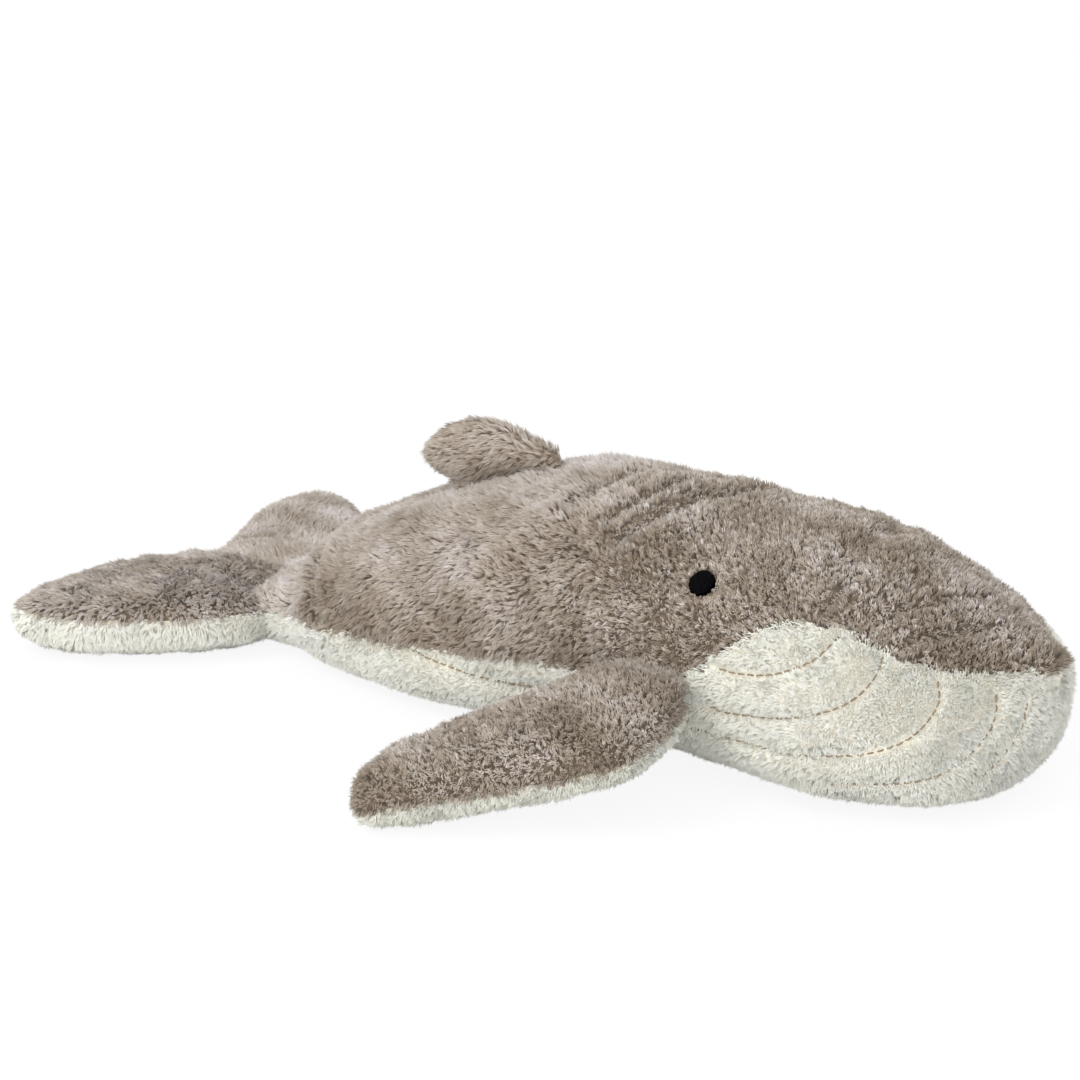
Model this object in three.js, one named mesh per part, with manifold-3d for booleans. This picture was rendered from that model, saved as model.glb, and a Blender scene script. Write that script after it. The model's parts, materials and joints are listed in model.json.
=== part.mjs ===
// A stuffed plush whale, lying on its belly: a taupe back, a cream belly with stitched throat pleats,
// and a dorsal fin, two pectoral fins and two tail flukes that are sewn on and flex at their seams.
// Millimetres. +X points to the snout, +Y to the whale's left, +Z up. The origin is on the floor,
// under the middle of the whale.
import * as THREE from "three";
import Module from "manifold-3d";

const wasm = await Module();
wasm.setup();

// Cloth, thread and seams
const COVER_THICKNESS = 4.5; // backing and pile of the torso's plush
const FIN_COVER_THICKNESS = 3.5; // plush of the fins and flukes, pressed flat by their seams
const SEAM_GAP = 0.3; // clearance between pieces that are sewn or pressed together
const HINGE_GAP = 0.5; // clearance round the rolled root of each fin
const THREAD_RADIUS = 0.5;
const THREAD_LIFT = 0.5; // clearance of a laid thread over the curved cloth
const LEAST_FILLING = 2; // half the size of the smallest pocket that is worth stuffing
const FLOOR_CUT = 0.5; // how deep the soft underside is pressed flat by the floor

// Torso
const TORSO_LENGTH = 337.5;
const TORSO_HALF_WIDTH = 70.5;
const TORSO_HEIGHT = 92;
// Share of the length from the rear end to the snout, then the half-width as a share of the widest,
// the heights of the ridge, the keel and the widest level as shares of the torso's height, and how
// square the section is above and below that level: 2 is an ellipse, and more is boxier.
const TORSO_SHARES = [
  [0.0, 0.61, 0.353, 0.0, 0.152, 2.0, 3.0],
  [0.03, 0.681, 0.457, 0.0, 0.168, 2.0, 2.8],
  [0.065, 0.745, 0.543, 0.0, 0.185, 2.05, 2.8],
  [0.113, 0.823, 0.636, 0.0, 0.207, 2.1, 3.7],
  [0.166, 0.879, 0.728, 0.0, 0.228, 2.15, 4.3],
  [0.243, 0.915, 0.826, 0.0, 0.25, 2.15, 4.6],
  [0.332, 0.936, 0.938, 0.0, 0.283, 2.15, 4.8],
  [0.412, 0.936, 1.0, 0.0, 0.304, 2.15, 4.2],
  [0.51, 0.943, 1.0, 0.0, 0.326, 2.1, 3.2],
  [0.599, 0.965, 0.984, 0.0, 0.337, 2.05, 2.6],
  [0.687, 0.986, 0.965, 0.0, 0.337, 2.0, 3.0],
  [0.761, 1.0, 0.93, 0.0, 0.337, 1.85, 3.4],
  [0.821, 0.986, 0.885, 0.0, 0.337, 1.75, 3.8],
  [0.865, 0.929, 0.82, 0.0, 0.342, 1.6, 4.2],
  [0.91, 0.81, 0.745, 0.0, 0.359, 1.5, 4.2],
  [0.945, 0.625, 0.675, 0.03, 0.385, 1.45, 3.4],
  [0.972, 0.42, 0.62, 0.11, 0.41, 1.5, 2.9],
  [0.987, 0.275, 0.6, 0.2, 0.43, 1.7, 2.6],
  [0.996, 0.15, 0.57, 0.31, 0.46, 2.0, 2.3],
  [1.0, 0.0, 0.5, 0.5, 0.5, 2.0, 2.0],
];
const SNOUT_HEIGHT_SHARE = TORSO_SHARES.at(-1)[3];
const SNOUT_CROWDING_SHARE = 1.7; // stations lie closer together towards the blunt snout

// Seam between the taupe back and the cream belly: share of the length, share of the height
const BORDER_SHARES = [
  [0.0, 0.207],
  [0.089, 0.235],
  [0.157, 0.268],
  [0.213, 0.284],
  [0.272, 0.291],
  [0.335, 0.304],
  [0.406, 0.334],
  [0.461, 0.358],
  [0.501, 0.37],
  [0.569, 0.391],
  [0.622, 0.435],
  [0.651, 0.49],
  [0.674, 0.549],
  [0.696, 0.625],
  [0.719, 0.696],
  [0.747, 0.732],
  [0.77, 0.746],
  [0.785, 0.741],
  [0.809, 0.735],
  [0.856, 0.675],
  [0.911, 0.605],
  [0.945, 0.59],
  [0.972, 0.585],
  [1.0, 0.56],
];

// Eyes: embroidered patches, seated in the pile
const EYE_RADIUS = 4.9;
const EYE_SINK = 1.7; // how deep the patch lies in the cover
const EYE_RIM = 0.5; // how far its edge stands out
const EYE_DOME = 0.9;
const EYE_ALONG_SHARE = 0.64;
const EYE_HEIGHT_SHARE = 0.789;

// Tail hub, between the torso and the two flukes
const TAIL_HINGE_BEHIND_TORSO = 8;
const KNUCKLE_RADIUS = 12.3;
const HUB_HALF_WIDTH = 14.3;
const HUB_HALF_THICKNESS = 13;
const HUB_LENGTH = 54;
const HUB_SQUARENESS = 2.6;
// Share of the length, shares of the half-width to the left and right, share of the half-thickness
const HUB_SHARES = [
  [0.0, 1.0, -1.0, 0.92],
  [0.3, 1.0, -1.0, 1.0],
  [0.7, 0.96, -0.96, 0.96],
  [0.88, 0.8, -0.8, 0.8],
  [0.97, 0.5, -0.5, 0.5],
  [1.0, 0.0, 0.0, 0.0],
];

// Flukes
const FLUKE_ROOT_Y = 21; // from the whale's middle to the seam that the fluke flaps about
const FLUKE_ROOT_RADIUS = 10;
const FLUKE_ROOT_BEHIND_HINGE = 6;
const FLUKE_ROOT_LENGTH = 58;
const FLUKE_SPAN = 84; // from the root seam to the tip
const FLUKE_CHORD = 100; // from the foremost to the rearmost point
const FLUKE_AHEAD_OF_HINGE = 13.5;
const FLUKE_HALF_THICKNESS = 14.5;
const FLUKE_SQUARENESS = 2.3;
const FLUKE_SEAM_RISE = 4; // its cloth seam lies above the middle of its thickness
// Share of the span, shares of the chord back from its front to the leading and trailing edges, share
// of the half-thickness
const FLUKE_SHARES = [
  [0.0, 0.13, 0.8, 0.66],
  [0.1, 0.125, 0.885, 0.84],
  [0.22, 0.12, 0.93, 0.97],
  [0.345, 0.115, 0.965, 1.0],
  [0.46, 0.15, 0.98, 1.0],
  [0.58, 0.225, 0.995, 0.97],
  [0.7, 0.325, 1.0, 0.91],
  [0.82, 0.445, 0.99, 0.82],
  [0.915, 0.555, 0.96, 0.7],
  [0.975, 0.67, 0.91, 0.46],
  [1.0, 0.79, 0.79, 0.0],
];
const TAIL_HINGE_HEIGHT = FLUKE_HALF_THICKNESS - FLOOR_CUT;

// Pectoral fins
const PECTORAL_ALONG_SHARE = 0.605; // where the root sits along the torso
const PECTORAL_HEIGHT_SHARE = 0.43;
const PECTORAL_ROOT_RADIUS = 4.5;
const PECTORAL_ROOT_LENGTH = 34;
const PECTORAL_ROOT_PROUD = 1.2; // from the torso's surface out to the root's axis
const PECTORAL_SPAN = 108;
const PECTORAL_CHORD = 80;
const PECTORAL_HALF_THICKNESS = 13.5;
const PECTORAL_SQUARENESS = 2.3;
const PECTORAL_TIP_CLEARANCE = 0.3; // from the resting fin down to the floor
// Share of the span, shares of the chord ahead of the root's middle to the leading and trailing edges,
// share of the half-thickness
const PECTORAL_SHARES = [
  [0.0, 0.2, -0.2, 0.32],
  [0.04, 0.25, -0.23, 0.56],
  [0.11, 0.3, -0.28, 0.8],
  [0.25, 0.34, -0.39, 0.95],
  [0.41, 0.31, -0.54, 1.0],
  [0.53, 0.185, -0.64, 1.0],
  [0.65, 0.0, -0.74, 0.98],
  [0.78, -0.235, -0.82, 0.93],
  [0.88, -0.42, -0.83, 0.83],
  [0.95, -0.57, -0.79, 0.66],
  [0.985, -0.64, -0.75, 0.42],
  [1.0, -0.7, -0.7, 0.0],
];

// Dorsal fin
const DORSAL_ALONG_SHARE = 0.2785; // middle of its base along the torso
const DORSAL_ROOT_RADIUS = 3;
const DORSAL_ROOT_LENGTH = 53;
const DORSAL_ROOT_PROUD = 1;
const DORSAL_HEIGHT = 26.5;
const DORSAL_LENGTH = 66; // from the hooked rear tip to the front of the base
const DORSAL_HALF_THICKNESS = 8;
const DORSAL_SQUARENESS = 2.2;
// Share of the height, shares of the length ahead of the middle to the front and rear edges, share of
// the half-thickness
const DORSAL_SHARES = [
  [0.0, 0.42, -0.41, 0.375],
  [0.14, 0.425, -0.445, 0.7],
  [0.32, 0.35, -0.49, 0.95],
  [0.5, 0.27, -0.55, 1.0],
  [0.66, 0.19, -0.565, 0.95],
  [0.8, 0.1, -0.5, 0.8],
  [0.91, 0.0, -0.4, 0.58],
  [0.975, -0.09, -0.3, 0.3],
  [1.0, -0.19, -0.19, 0.0],
];

// Throat pleats: each is a row of topstitching that starts at the colour seam and curves down and back
// round the throat. A point is a share of the torso's length and a share of its height.
const PLEAT_SHARES = [
  [
    [0.807, 0.7],
    [0.79, 0.61],
    [0.753, 0.54],
    [0.71, 0.514],
    [0.676, 0.52],
  ],
  [
    [0.856, 0.64],
    [0.855, 0.565],
    [0.835, 0.47],
    [0.79, 0.402],
    [0.725, 0.358],
    [0.676, 0.345],
  ],
  [
    [0.91, 0.565],
    [0.92, 0.475],
    [0.907, 0.37],
    [0.87, 0.293],
    [0.822, 0.258],
    [0.75, 0.234],
    [0.612, 0.228],
    [0.475, 0.234],
    [0.38, 0.218],
    [0.312, 0.23],
    [0.25, 0.28],
  ],
  [
    [0.962, 0.5],
    [0.966, 0.42],
    [0.958, 0.31],
    [0.932, 0.2],
    [0.89, 0.147],
    [0.82, 0.12],
  ],
  [
    [0.986, 0.45],
    [0.982, 0.32],
    [0.968, 0.21],
    [0.945, 0.115],
  ],
];
const STITCH_STEP = 8; // between the points that a stitched row is drawn through

const TAUPE = new THREE.MeshStandardMaterial({ color: 0x9a8c80, roughness: 0.95, metalness: 0 });
const CREAM = new THREE.MeshStandardMaterial({ color: 0xeeeadd, roughness: 0.95, metalness: 0 });
const BLACK_THREAD = new THREE.MeshStandardMaterial({ color: 0x101012, roughness: 0.7, metalness: 0 });
const BROWN_THREAD = new THREE.MeshStandardMaterial({ color: 0x7a6a55, roughness: 0.85, metalness: 0 });
const WADDING = new THREE.MeshStandardMaterial({ color: 0xf4f3ef, roughness: 1, metalness: 0 });

const overrun = TORSO_LENGTH; // how far every cutter reaches past what it cuts
const SIDES = { left: 1, right: -1 };

// A smooth curve through rows of [share, value, ...] that doesn't overshoot them
function valueAt(rows, column, share) {
  const last = rows.length - 1;
  const at = THREE.MathUtils.clamp(share, rows[0][0], rows[last][0]);
  let i = 0;
  while (i < last - 1 && rows[i + 1][0] < at) i += 1;
  const slope = (k) => (rows[k + 1][column] - rows[k][column]) / (rows[k + 1][0] - rows[k][0]);
  const tangent = (k) => {
    if (k === 0) return slope(0);
    if (k === last) return slope(last - 1);
    const [before, after] = [slope(k - 1), slope(k)];
    return before * after <= 0 ? 0 : (2 * before * after) / (before + after);
  };
  const step = rows[i + 1][0] - rows[i][0];
  const t = (at - rows[i][0]) / step;
  const [t2, t3] = [t * t, t * t * t];
  return (
    (2 * t3 - 3 * t2 + 1) * rows[i][column] +
    (t3 - 2 * t2 + t) * step * tangent(i) +
    (3 * t2 - 2 * t3) * rows[i + 1][column] +
    (t3 - t2) * step * tangent(i + 1)
  );
}

// One point of a superellipse with half axes a and b, at an angle in radians
function superellipse(a, b, squareness, angle) {
  const bend = (value) => Math.sign(value) * Math.abs(value) ** (2 / squareness);
  return [a * bend(Math.cos(angle)), b * bend(Math.sin(angle))];
}

// A closed surface through rings of points, of which the first and last may shrink to a point
function loft(rings) {
  const around = rings[0].length;
  const centre = (ring) => ring.reduce((sum, p) => sum.add(p), new THREE.Vector3()).divideScalar(around);
  const ends = [centre(rings[0]), centre(rings.at(-1))];
  const kept = rings.filter((ring) => ring.some((p) => p.distanceTo(centre(ring)) > 1e-6));
  const points = [...kept.flat(), ...ends];
  const [first, last] = [points.length - 2, points.length - 1];
  const end = (kept.length - 1) * around;
  const index = [];
  for (let k = 0; k < around; k += 1) {
    const next = (k + 1) % around;
    for (let i = 0; i < end; i += around) {
      index.push(i + k, i + next, i + next + around, i + k, i + next + around, i + k + around);
    }
    index.push(first, next, k, last, end + k, end + next);
  }
  return facingOut(new THREE.BufferGeometry().setFromPoints(points).setIndex(index));
}

// Turns every face round if the surface is inside out.
function facingOut(geometry) {
  const at = geometry.getAttribute("position");
  const corner = (i) => new THREE.Vector3().fromBufferAttribute(at, geometry.index.getX(i));
  let volume = 0;
  for (let i = 0; i < geometry.index.count; i += 3) {
    volume += corner(i).dot(corner(i + 1).cross(corner(i + 2)));
  }
  return volume > 0 ? geometry : geometry.setIndex([...geometry.index.array].reverse());
}

// One vertex for each place, so that a geometry's faces are joined
function merged(geometry) {
  const at = geometry.getAttribute("position");
  const [known, points, index] = [new Map(), [], []];
  for (let i = 0; i < (geometry.index ? geometry.index.count : at.count); i += 1) {
    const vertex = geometry.index ? geometry.index.getX(i) : i;
    const point = new THREE.Vector3().fromBufferAttribute(at, vertex);
    const key = point.toArray().map((value) => value.toFixed(3)).join();
    if (!known.has(key)) known.set(key, points.push(point) - 1);
    index.push(known.get(key));
  }
  return facingOut(new THREE.BufferGeometry().setFromPoints(points).setIndex(index));
}

// three.js geometry to a solid that can be cut and joined, and back
function solidOf(geometry) {
  const vertProperties = new Float32Array(geometry.getAttribute("position").array);
  const triVerts = new Uint32Array(geometry.index.array);
  return new wasm.Manifold(new wasm.Mesh({ numProp: 3, vertProperties, triVerts }));
}

function geometryOf(solid) {
  const { numProp, numVert, vertProperties, triVerts } = solid.getMesh();
  const places = new Float32Array(numVert * 3);
  for (let i = 0; i < numVert; i += 1) {
    places.set(vertProperties.subarray(i * numProp, i * numProp + 3), i * 3);
  }
  return new THREE.BufferGeometry()
    .setAttribute("position", new THREE.BufferAttribute(places, 3))
    .setIndex(new THREE.BufferAttribute(new Uint32Array(triVerts), 1));
}

function named(name, solid, material) {
  const mesh = new THREE.Mesh(geometryOf(solid), material);
  mesh.name = name;
  return mesh;
}

// Everything on one side of the plane at a height above a fin's own middle plane
function halfSpace(place, height) {
  const rings = [height, height + overrun].map((up) => [
    place(-overrun, -overrun, up),
    place(overrun, -overrun, up),
    place(overrun, overrun, up),
    place(-overrun, overrun, up),
  ]);
  return solidOf(loft(rings));
}

const sideways = (x, z, y) => new THREE.Vector3(x, y, z);
const downwards = (x, y, z) => new THREE.Vector3(x, y, -z);

// A roll with round ends, along the line between two points
function rollOf([from, to], radius, around = 12, capRings = 2) {
  const way = new THREE.Vector3().subVectors(to, from);
  const axis = way.clone().normalize();
  const side = new THREE.Vector3(0, 0, 1).cross(axis).normalize();
  const up = new THREE.Vector3().crossVectors(axis, side);
  const ringAt = (along, size) =>
    Array.from({ length: around }, (_, k) => {
      const angle = (2 * Math.PI * (k + 0.5)) / around;
      const out = side.clone().multiplyScalar(size * Math.cos(angle));
      return out.addScaledVector(up, size * Math.sin(angle)).addScaledVector(axis, along).add(from);
    });
  const caps = Array.from({ length: capRings + 1 }, (_, i) => (Math.PI / 2) * (i / capRings));
  const start = caps.map((angle) => ringAt(radius - radius * Math.cos(angle), radius * Math.sin(angle)));
  const end = caps.map((angle) => {
    return ringAt(way.length() - radius + radius * Math.sin(angle), radius * Math.cos(angle));
  });
  return solidOf(loft([...start, ...end]));
}

// The same roll's seat in what it turns in, at a depth below that piece's surface
function seatOf([from, to], radius, depth) {
  const clearance = HINGE_GAP + depth;
  const axis = new THREE.Vector3().subVectors(to, from).normalize();
  const ends = [from.clone().addScaledVector(axis, -clearance), to.clone().addScaledVector(axis, clearance)];
  return rollOf(ends, radius + clearance);
}

// Torso outline at a share of its length and a depth below its surface: the half-width, three heights
// and two squarenesses
function torsoSection(share, depth = 0) {
  const [width, ridge, keel, widest, above, below] = [1, 2, 3, 4, 5, 6].map((column) => {
    return valueAt(TORSO_SHARES, column, share);
  });
  return {
    x: THREE.MathUtils.lerp(depth, TORSO_LENGTH - depth, share),
    halfWidth: TORSO_HALF_WIDTH * width - depth,
    ridge: TORSO_HEIGHT * ridge - depth,
    keel: TORSO_HEIGHT * keel - FLOOR_CUT * (1 - keel / SNOUT_HEIGHT_SHARE) + depth,
    widest: TORSO_HEIGHT * widest,
    above,
    below,
  };
}

// A point on the torso. The angle runs from the left side (0) over the ridge to the right side.
function torsoPoint(share, angle, depth = 0) {
  const s = torsoSection(share, depth);
  const isUpper = Math.sin(angle) >= 0;
  const height = isUpper ? s.ridge - s.widest : s.widest - s.keel;
  const [y, z] = superellipse(s.halfWidth, height, isUpper ? s.above : s.below, angle);
  return new THREE.Vector3(s.x, y, s.widest + z);
}

function torsoNormal(share, angle) {
  const step = 1e-3;
  const along = torsoPoint(share + step, angle).sub(torsoPoint(share - step, angle));
  const round = torsoPoint(share, angle + step).sub(torsoPoint(share, angle - step));
  return round.cross(along).normalize();
}

// The angle at which the torso's left side is at a height
function torsoAngle(share, height) {
  const s = torsoSection(share);
  if (height < s.widest) {
    return -Math.asin(((s.widest - height) / (s.widest - s.keel)) ** (s.below / 2));
  }
  return Math.asin(((height - s.widest) / (s.ridge - s.widest)) ** (s.above / 2));
}

const borderHeight = (share) => TORSO_HEIGHT * valueAt(BORDER_SHARES, 1, share);
const mirror = (point, side) => point.setY(side * point.y);

// Where the fins' and the tail's rolled roots lie
const hinge = new THREE.Vector3(-TAIL_HINGE_BEHIND_TORSO, 0, TAIL_HINGE_HEIGHT);
const knuckleLine = [-HUB_HALF_WIDTH, HUB_HALF_WIDTH].map((y) => hinge.clone().setY(y));

const pectoralRoot = torsoPoint(
  PECTORAL_ALONG_SHARE,
  torsoAngle(PECTORAL_ALONG_SHARE, TORSO_HEIGHT * PECTORAL_HEIGHT_SHARE),
);
pectoralRoot.y += PECTORAL_ROOT_PROUD;

const dorsalRoot = torsoPoint(DORSAL_ALONG_SHARE, Math.PI / 2);
dorsalRoot.z += DORSAL_ROOT_PROUD;
const dorsalReachShare = DORSAL_ROOT_LENGTH / TORSO_LENGTH / 2;
const dorsalAxis = torsoPoint(DORSAL_ALONG_SHARE + dorsalReachShare, Math.PI / 2)
  .sub(torsoPoint(DORSAL_ALONG_SHARE - dorsalReachShare, Math.PI / 2))
  .normalize();

function pectoralLine(side) {
  return [-PECTORAL_ROOT_LENGTH / 2, PECTORAL_ROOT_LENGTH / 2].map((along) =>
    mirror(pectoralRoot.clone().add(new THREE.Vector3(along, 0, 0)), side),
  );
}

function flukeLine(side) {
  return [FLUKE_ROOT_BEHIND_HINGE, FLUKE_ROOT_BEHIND_HINGE + FLUKE_ROOT_LENGTH].map((back) =>
    hinge.clone().add(new THREE.Vector3(-back, side * FLUKE_ROOT_Y, 0)),
  );
}

function dorsalLine() {
  return [-DORSAL_ROOT_LENGTH / 2, DORSAL_ROOT_LENGTH / 2].map((along) =>
    dorsalRoot.clone().addScaledVector(dorsalAxis, along),
  );
}

const belowFloor = halfSpace(downwards, 0);

// The torso, at a depth below its surface, with the seats of everything that turns in it
function torsoLayer(stations, around, depth) {
  const rings = [];
  for (let i = 0; i <= stations; i += 1) {
    const share = 1 - (1 - i / stations) ** SNOUT_CROWDING_SHARE;
    const { halfWidth, ridge, widest } = torsoSection(share, COVER_THICKNESS);
    if (depth > 0 && Math.min(halfWidth, ridge - widest) < LEAST_FILLING) continue;
    const angles = Array.from({ length: around }, (_, k) => (2 * Math.PI * k) / around);
    rings.push(angles.map((angle) => torsoPoint(share, angle, depth)));
  }
  return solidOf(loft(rings))
    .subtract(seatOf(knuckleLine, KNUCKLE_RADIUS, depth))
    .subtract(seatOf(pectoralLine(SIDES.left), PECTORAL_ROOT_RADIUS, depth))
    .subtract(seatOf(pectoralLine(SIDES.right), PECTORAL_ROOT_RADIUS, depth))
    .subtract(seatOf(dorsalLine(), DORSAL_ROOT_RADIUS, depth))
    .subtract(belowFloor);
}

// Everything above or below the seam between back and belly
function besideBorder(isAbove) {
  const offset = (isAbove ? SEAM_GAP : -SEAM_GAP) / 2;
  const far = isAbove ? overrun : -overrun;
  const line = BORDER_SHARES.map(([share]) => [share * TORSO_LENGTH, borderHeight(share) + offset]);
  const outline = [
    [-overrun, far],
    [-overrun, line[0][1]],
    ...line,
    [TORSO_LENGTH + overrun, line.at(-1)[1]],
    [TORSO_LENGTH + overrun, far],
  ];
  const shape = new THREE.Shape(outline.map(([x, z]) => new THREE.Vector2(x, z)));
  const slab = new THREE.ExtrudeGeometry(shape, { depth: 2 * overrun, bevelEnabled: false });
  return solidOf(merged(slab.rotateX(Math.PI / 2).translate(0, overrun, 0)));
}

// A round embroidered patch, or with a clearance its seat, on the torso's side
function eyePatch(side, clearance) {
  const [radius, top] = [EYE_RADIUS + clearance, EYE_RIM + clearance];
  const profile = [
    [0, -EYE_SINK - clearance],
    [radius, -EYE_SINK - clearance],
    [radius, top],
    [radius / 2, top + EYE_DOME * 0.75],
    [0, top + EYE_DOME],
  ];
  const patch = new THREE.LatheGeometry(
    profile.map(([x, y]) => new THREE.Vector2(x, y)),
    20,
  );
  const angle = torsoAngle(EYE_ALONG_SHARE, TORSO_HEIGHT * EYE_HEIGHT_SHARE);
  const normal = mirror(torsoNormal(EYE_ALONG_SHARE, angle), side);
  const centre = mirror(torsoPoint(EYE_ALONG_SHARE, angle), side);
  patch.applyQuaternion(new THREE.Quaternion().setFromUnitVectors(new THREE.Vector3(0, 1, 0), normal));
  return solidOf(merged(patch.translate(centre.x, centre.y, centre.z)));
}

function torsoPieces() {
  const outside = torsoLayer(21, 24, 0)
    .subtract(eyePatch(SIDES.left, SEAM_GAP))
    .subtract(eyePatch(SIDES.right, SEAM_GAP));
  const cover = outside.subtract(torsoLayer(10, 12, COVER_THICKNESS));
  const back = cover.intersect(besideBorder(true));
  const halfGap = SEAM_GAP / 2;
  return [
    named("back_panel_left", back.intersect(halfSpace(sideways, halfGap)), TAUPE),
    named("back_panel_right", back.subtract(halfSpace(sideways, -halfGap)), TAUPE),
    named("belly_panel", cover.intersect(besideBorder(false)), CREAM),
    named("torso_stuffing", torsoLayer(10, 12, COVER_THICKNESS + SEAM_GAP), WADDING),
    named("eye_left", eyePatch(SIDES.left, 0), BLACK_THREAD),
    named("eye_right", eyePatch(SIDES.right, 0), BLACK_THREAD),
  ];
}

// A stuffed fin at a depth below its surface: stations along its span, each a superellipse across its
// chord. Each row of shares gives the span, the leading edge, the trailing edge and the thickness.
function finLayer(fin, stations, around, depth) {
  const rings = [];
  for (let i = 0; i <= stations; i += 1) {
    const share = 1 - (1 - i / stations) ** fin.tipCrowdingShare;
    const [lead, trail, thick] = [1, 2, 3].map((column) => valueAt(fin.shares, column, share));
    const middle = (fin.chord * (lead + trail)) / 2;
    const [halfChord, halfThickness] = [(fin.chord * Math.abs(lead - trail)) / 2, fin.halfThickness * thick];
    const pocket = Math.min(halfChord, halfThickness) - FIN_COVER_THICKNESS;
    if (depth > 0 && pocket < LEAST_FILLING) continue;
    const ring = Array.from({ length: around }, (_, k) => {
      const angle = (2 * Math.PI * k) / around;
      const [along, up] = superellipse(halfChord - depth, halfThickness - depth, fin.squareness, angle);
      return fin.place(THREE.MathUtils.lerp(depth, fin.span - depth, share), middle + along, up);
    });
    rings.push(ring);
  }
  return solidOf(loft(rings));
}

// A fin as two cloth panels over its filling. Its rolled root turns in the seam that holds it.
function finPieces(name, fin, sideNames, materials) {
  const outside = finLayer(fin, 9, 12, 0).add(fin.root).subtract(fin.keptClear(0));
  const pocket = finLayer(fin, 7, 8, FIN_COVER_THICKNESS).subtract(fin.keptClear(FIN_COVER_THICKNESS));
  const fillingDepth = FIN_COVER_THICKNESS + SEAM_GAP;
  const filling = finLayer(fin, 7, 8, fillingDepth).subtract(fin.keptClear(fillingDepth));
  const cover = outside.subtract(pocket);
  const halfGap = SEAM_GAP / 2;
  const [upper, lower] = sideNames;
  return [
    named(`${name}_${upper}`, cover.intersect(halfSpace(fin.place, fin.seamRise + halfGap)), materials[0]),
    named(`${name}_${lower}`, cover.subtract(halfSpace(fin.place, fin.seamRise - halfGap)), materials[1]),
    named(`${name}_stuffing`, filling, WADDING),
  ];
}

function tailPieces() {
  const hub = {
    shares: HUB_SHARES,
    span: HUB_LENGTH,
    chord: HUB_HALF_WIDTH,
    halfThickness: HUB_HALF_THICKNESS,
    squareness: HUB_SQUARENESS,
    tipCrowdingShare: 1.3,
    seamRise: FLUKE_SEAM_RISE,
    place: (back, across, up) => hinge.clone().add(new THREE.Vector3(-back, across, up)),
    root: rollOf(knuckleLine, KNUCKLE_RADIUS),
    keptClear: (depth) =>
      seatOf(flukeLine(SIDES.left), FLUKE_ROOT_RADIUS, depth).add(
        seatOf(flukeLine(SIDES.right), FLUKE_ROOT_RADIUS, depth),
      ),
  };
  return finPieces("tail", hub, ["top", "bottom"], [TAUPE, CREAM]);
}

function flukePieces(sideName) {
  const side = SIDES[sideName];
  const fluke = {
    shares: FLUKE_SHARES,
    span: FLUKE_SPAN,
    chord: FLUKE_CHORD,
    halfThickness: FLUKE_HALF_THICKNESS,
    squareness: FLUKE_SQUARENESS,
    tipCrowdingShare: 1.4,
    seamRise: FLUKE_SEAM_RISE,
    place: (out, back, up) =>
      new THREE.Vector3(FLUKE_AHEAD_OF_HINGE - back, side * (FLUKE_ROOT_Y + out), up).add(hinge),
    root: rollOf(flukeLine(side), FLUKE_ROOT_RADIUS),
    keptClear: () => belowFloor,
  };
  return finPieces(`fluke_${sideName}`, fluke, ["top", "bottom"], [TAUPE, CREAM]);
}

// How far a fin that starts at a height hangs down when it lies on the floor, in radians
function restingDroop(height, span, halfThickness, shares) {
  const clearanceAt = (droop) => {
    const heights = shares.map(([out, , , thick]) => {
      return height - span * out * Math.sin(droop) - halfThickness * thick * Math.cos(droop);
    });
    return Math.min(...heights);
  };
  let [level, steep] = [0, Math.PI / 4];
  for (let i = 0; i < 30; i += 1) {
    const droop = (level + steep) / 2;
    if (clearanceAt(droop) > PECTORAL_TIP_CLEARANCE) level = droop;
    else steep = droop;
  }
  return level;
}

function pectoralPieces(sideName) {
  const side = SIDES[sideName];
  const droop = restingDroop(pectoralRoot.z, PECTORAL_SPAN, PECTORAL_HALF_THICKNESS, PECTORAL_SHARES);
  const [down, level] = [Math.sin(droop), Math.cos(droop)];
  const fin = {
    shares: PECTORAL_SHARES,
    span: PECTORAL_SPAN,
    chord: PECTORAL_CHORD,
    halfThickness: PECTORAL_HALF_THICKNESS,
    squareness: PECTORAL_SQUARENESS,
    tipCrowdingShare: 1.4,
    seamRise: 0,
    place: (out, along, up) => {
      const offset = new THREE.Vector3(along, out * level + up * down, up * level - out * down);
      return mirror(offset.add(pectoralRoot), side);
    },
    root: rollOf(pectoralLine(side), PECTORAL_ROOT_RADIUS),
    keptClear: () => belowFloor,
  };
  return finPieces(`pectoral_${sideName}`, fin, ["top", "bottom"], [TAUPE, CREAM]);
}

function dorsalPieces() {
  const upwards = new THREE.Vector3(-dorsalAxis.z, 0, dorsalAxis.x);
  const fin = {
    shares: DORSAL_SHARES,
    span: DORSAL_HEIGHT,
    chord: DORSAL_LENGTH,
    halfThickness: DORSAL_HALF_THICKNESS,
    squareness: DORSAL_SQUARENESS,
    tipCrowdingShare: 1.2,
    seamRise: 0,
    place: (out, along, across) => {
      const offset = new THREE.Vector3(0, across, 0).addScaledVector(upwards, out);
      return offset.addScaledVector(dorsalAxis, along).add(dorsalRoot);
    },
    root: rollOf(dorsalLine(), DORSAL_ROOT_RADIUS),
    keptClear: () => belowFloor,
  };
  return finPieces("dorsal", fin, ["left", "right"], [TAUPE, TAUPE]);
}

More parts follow.
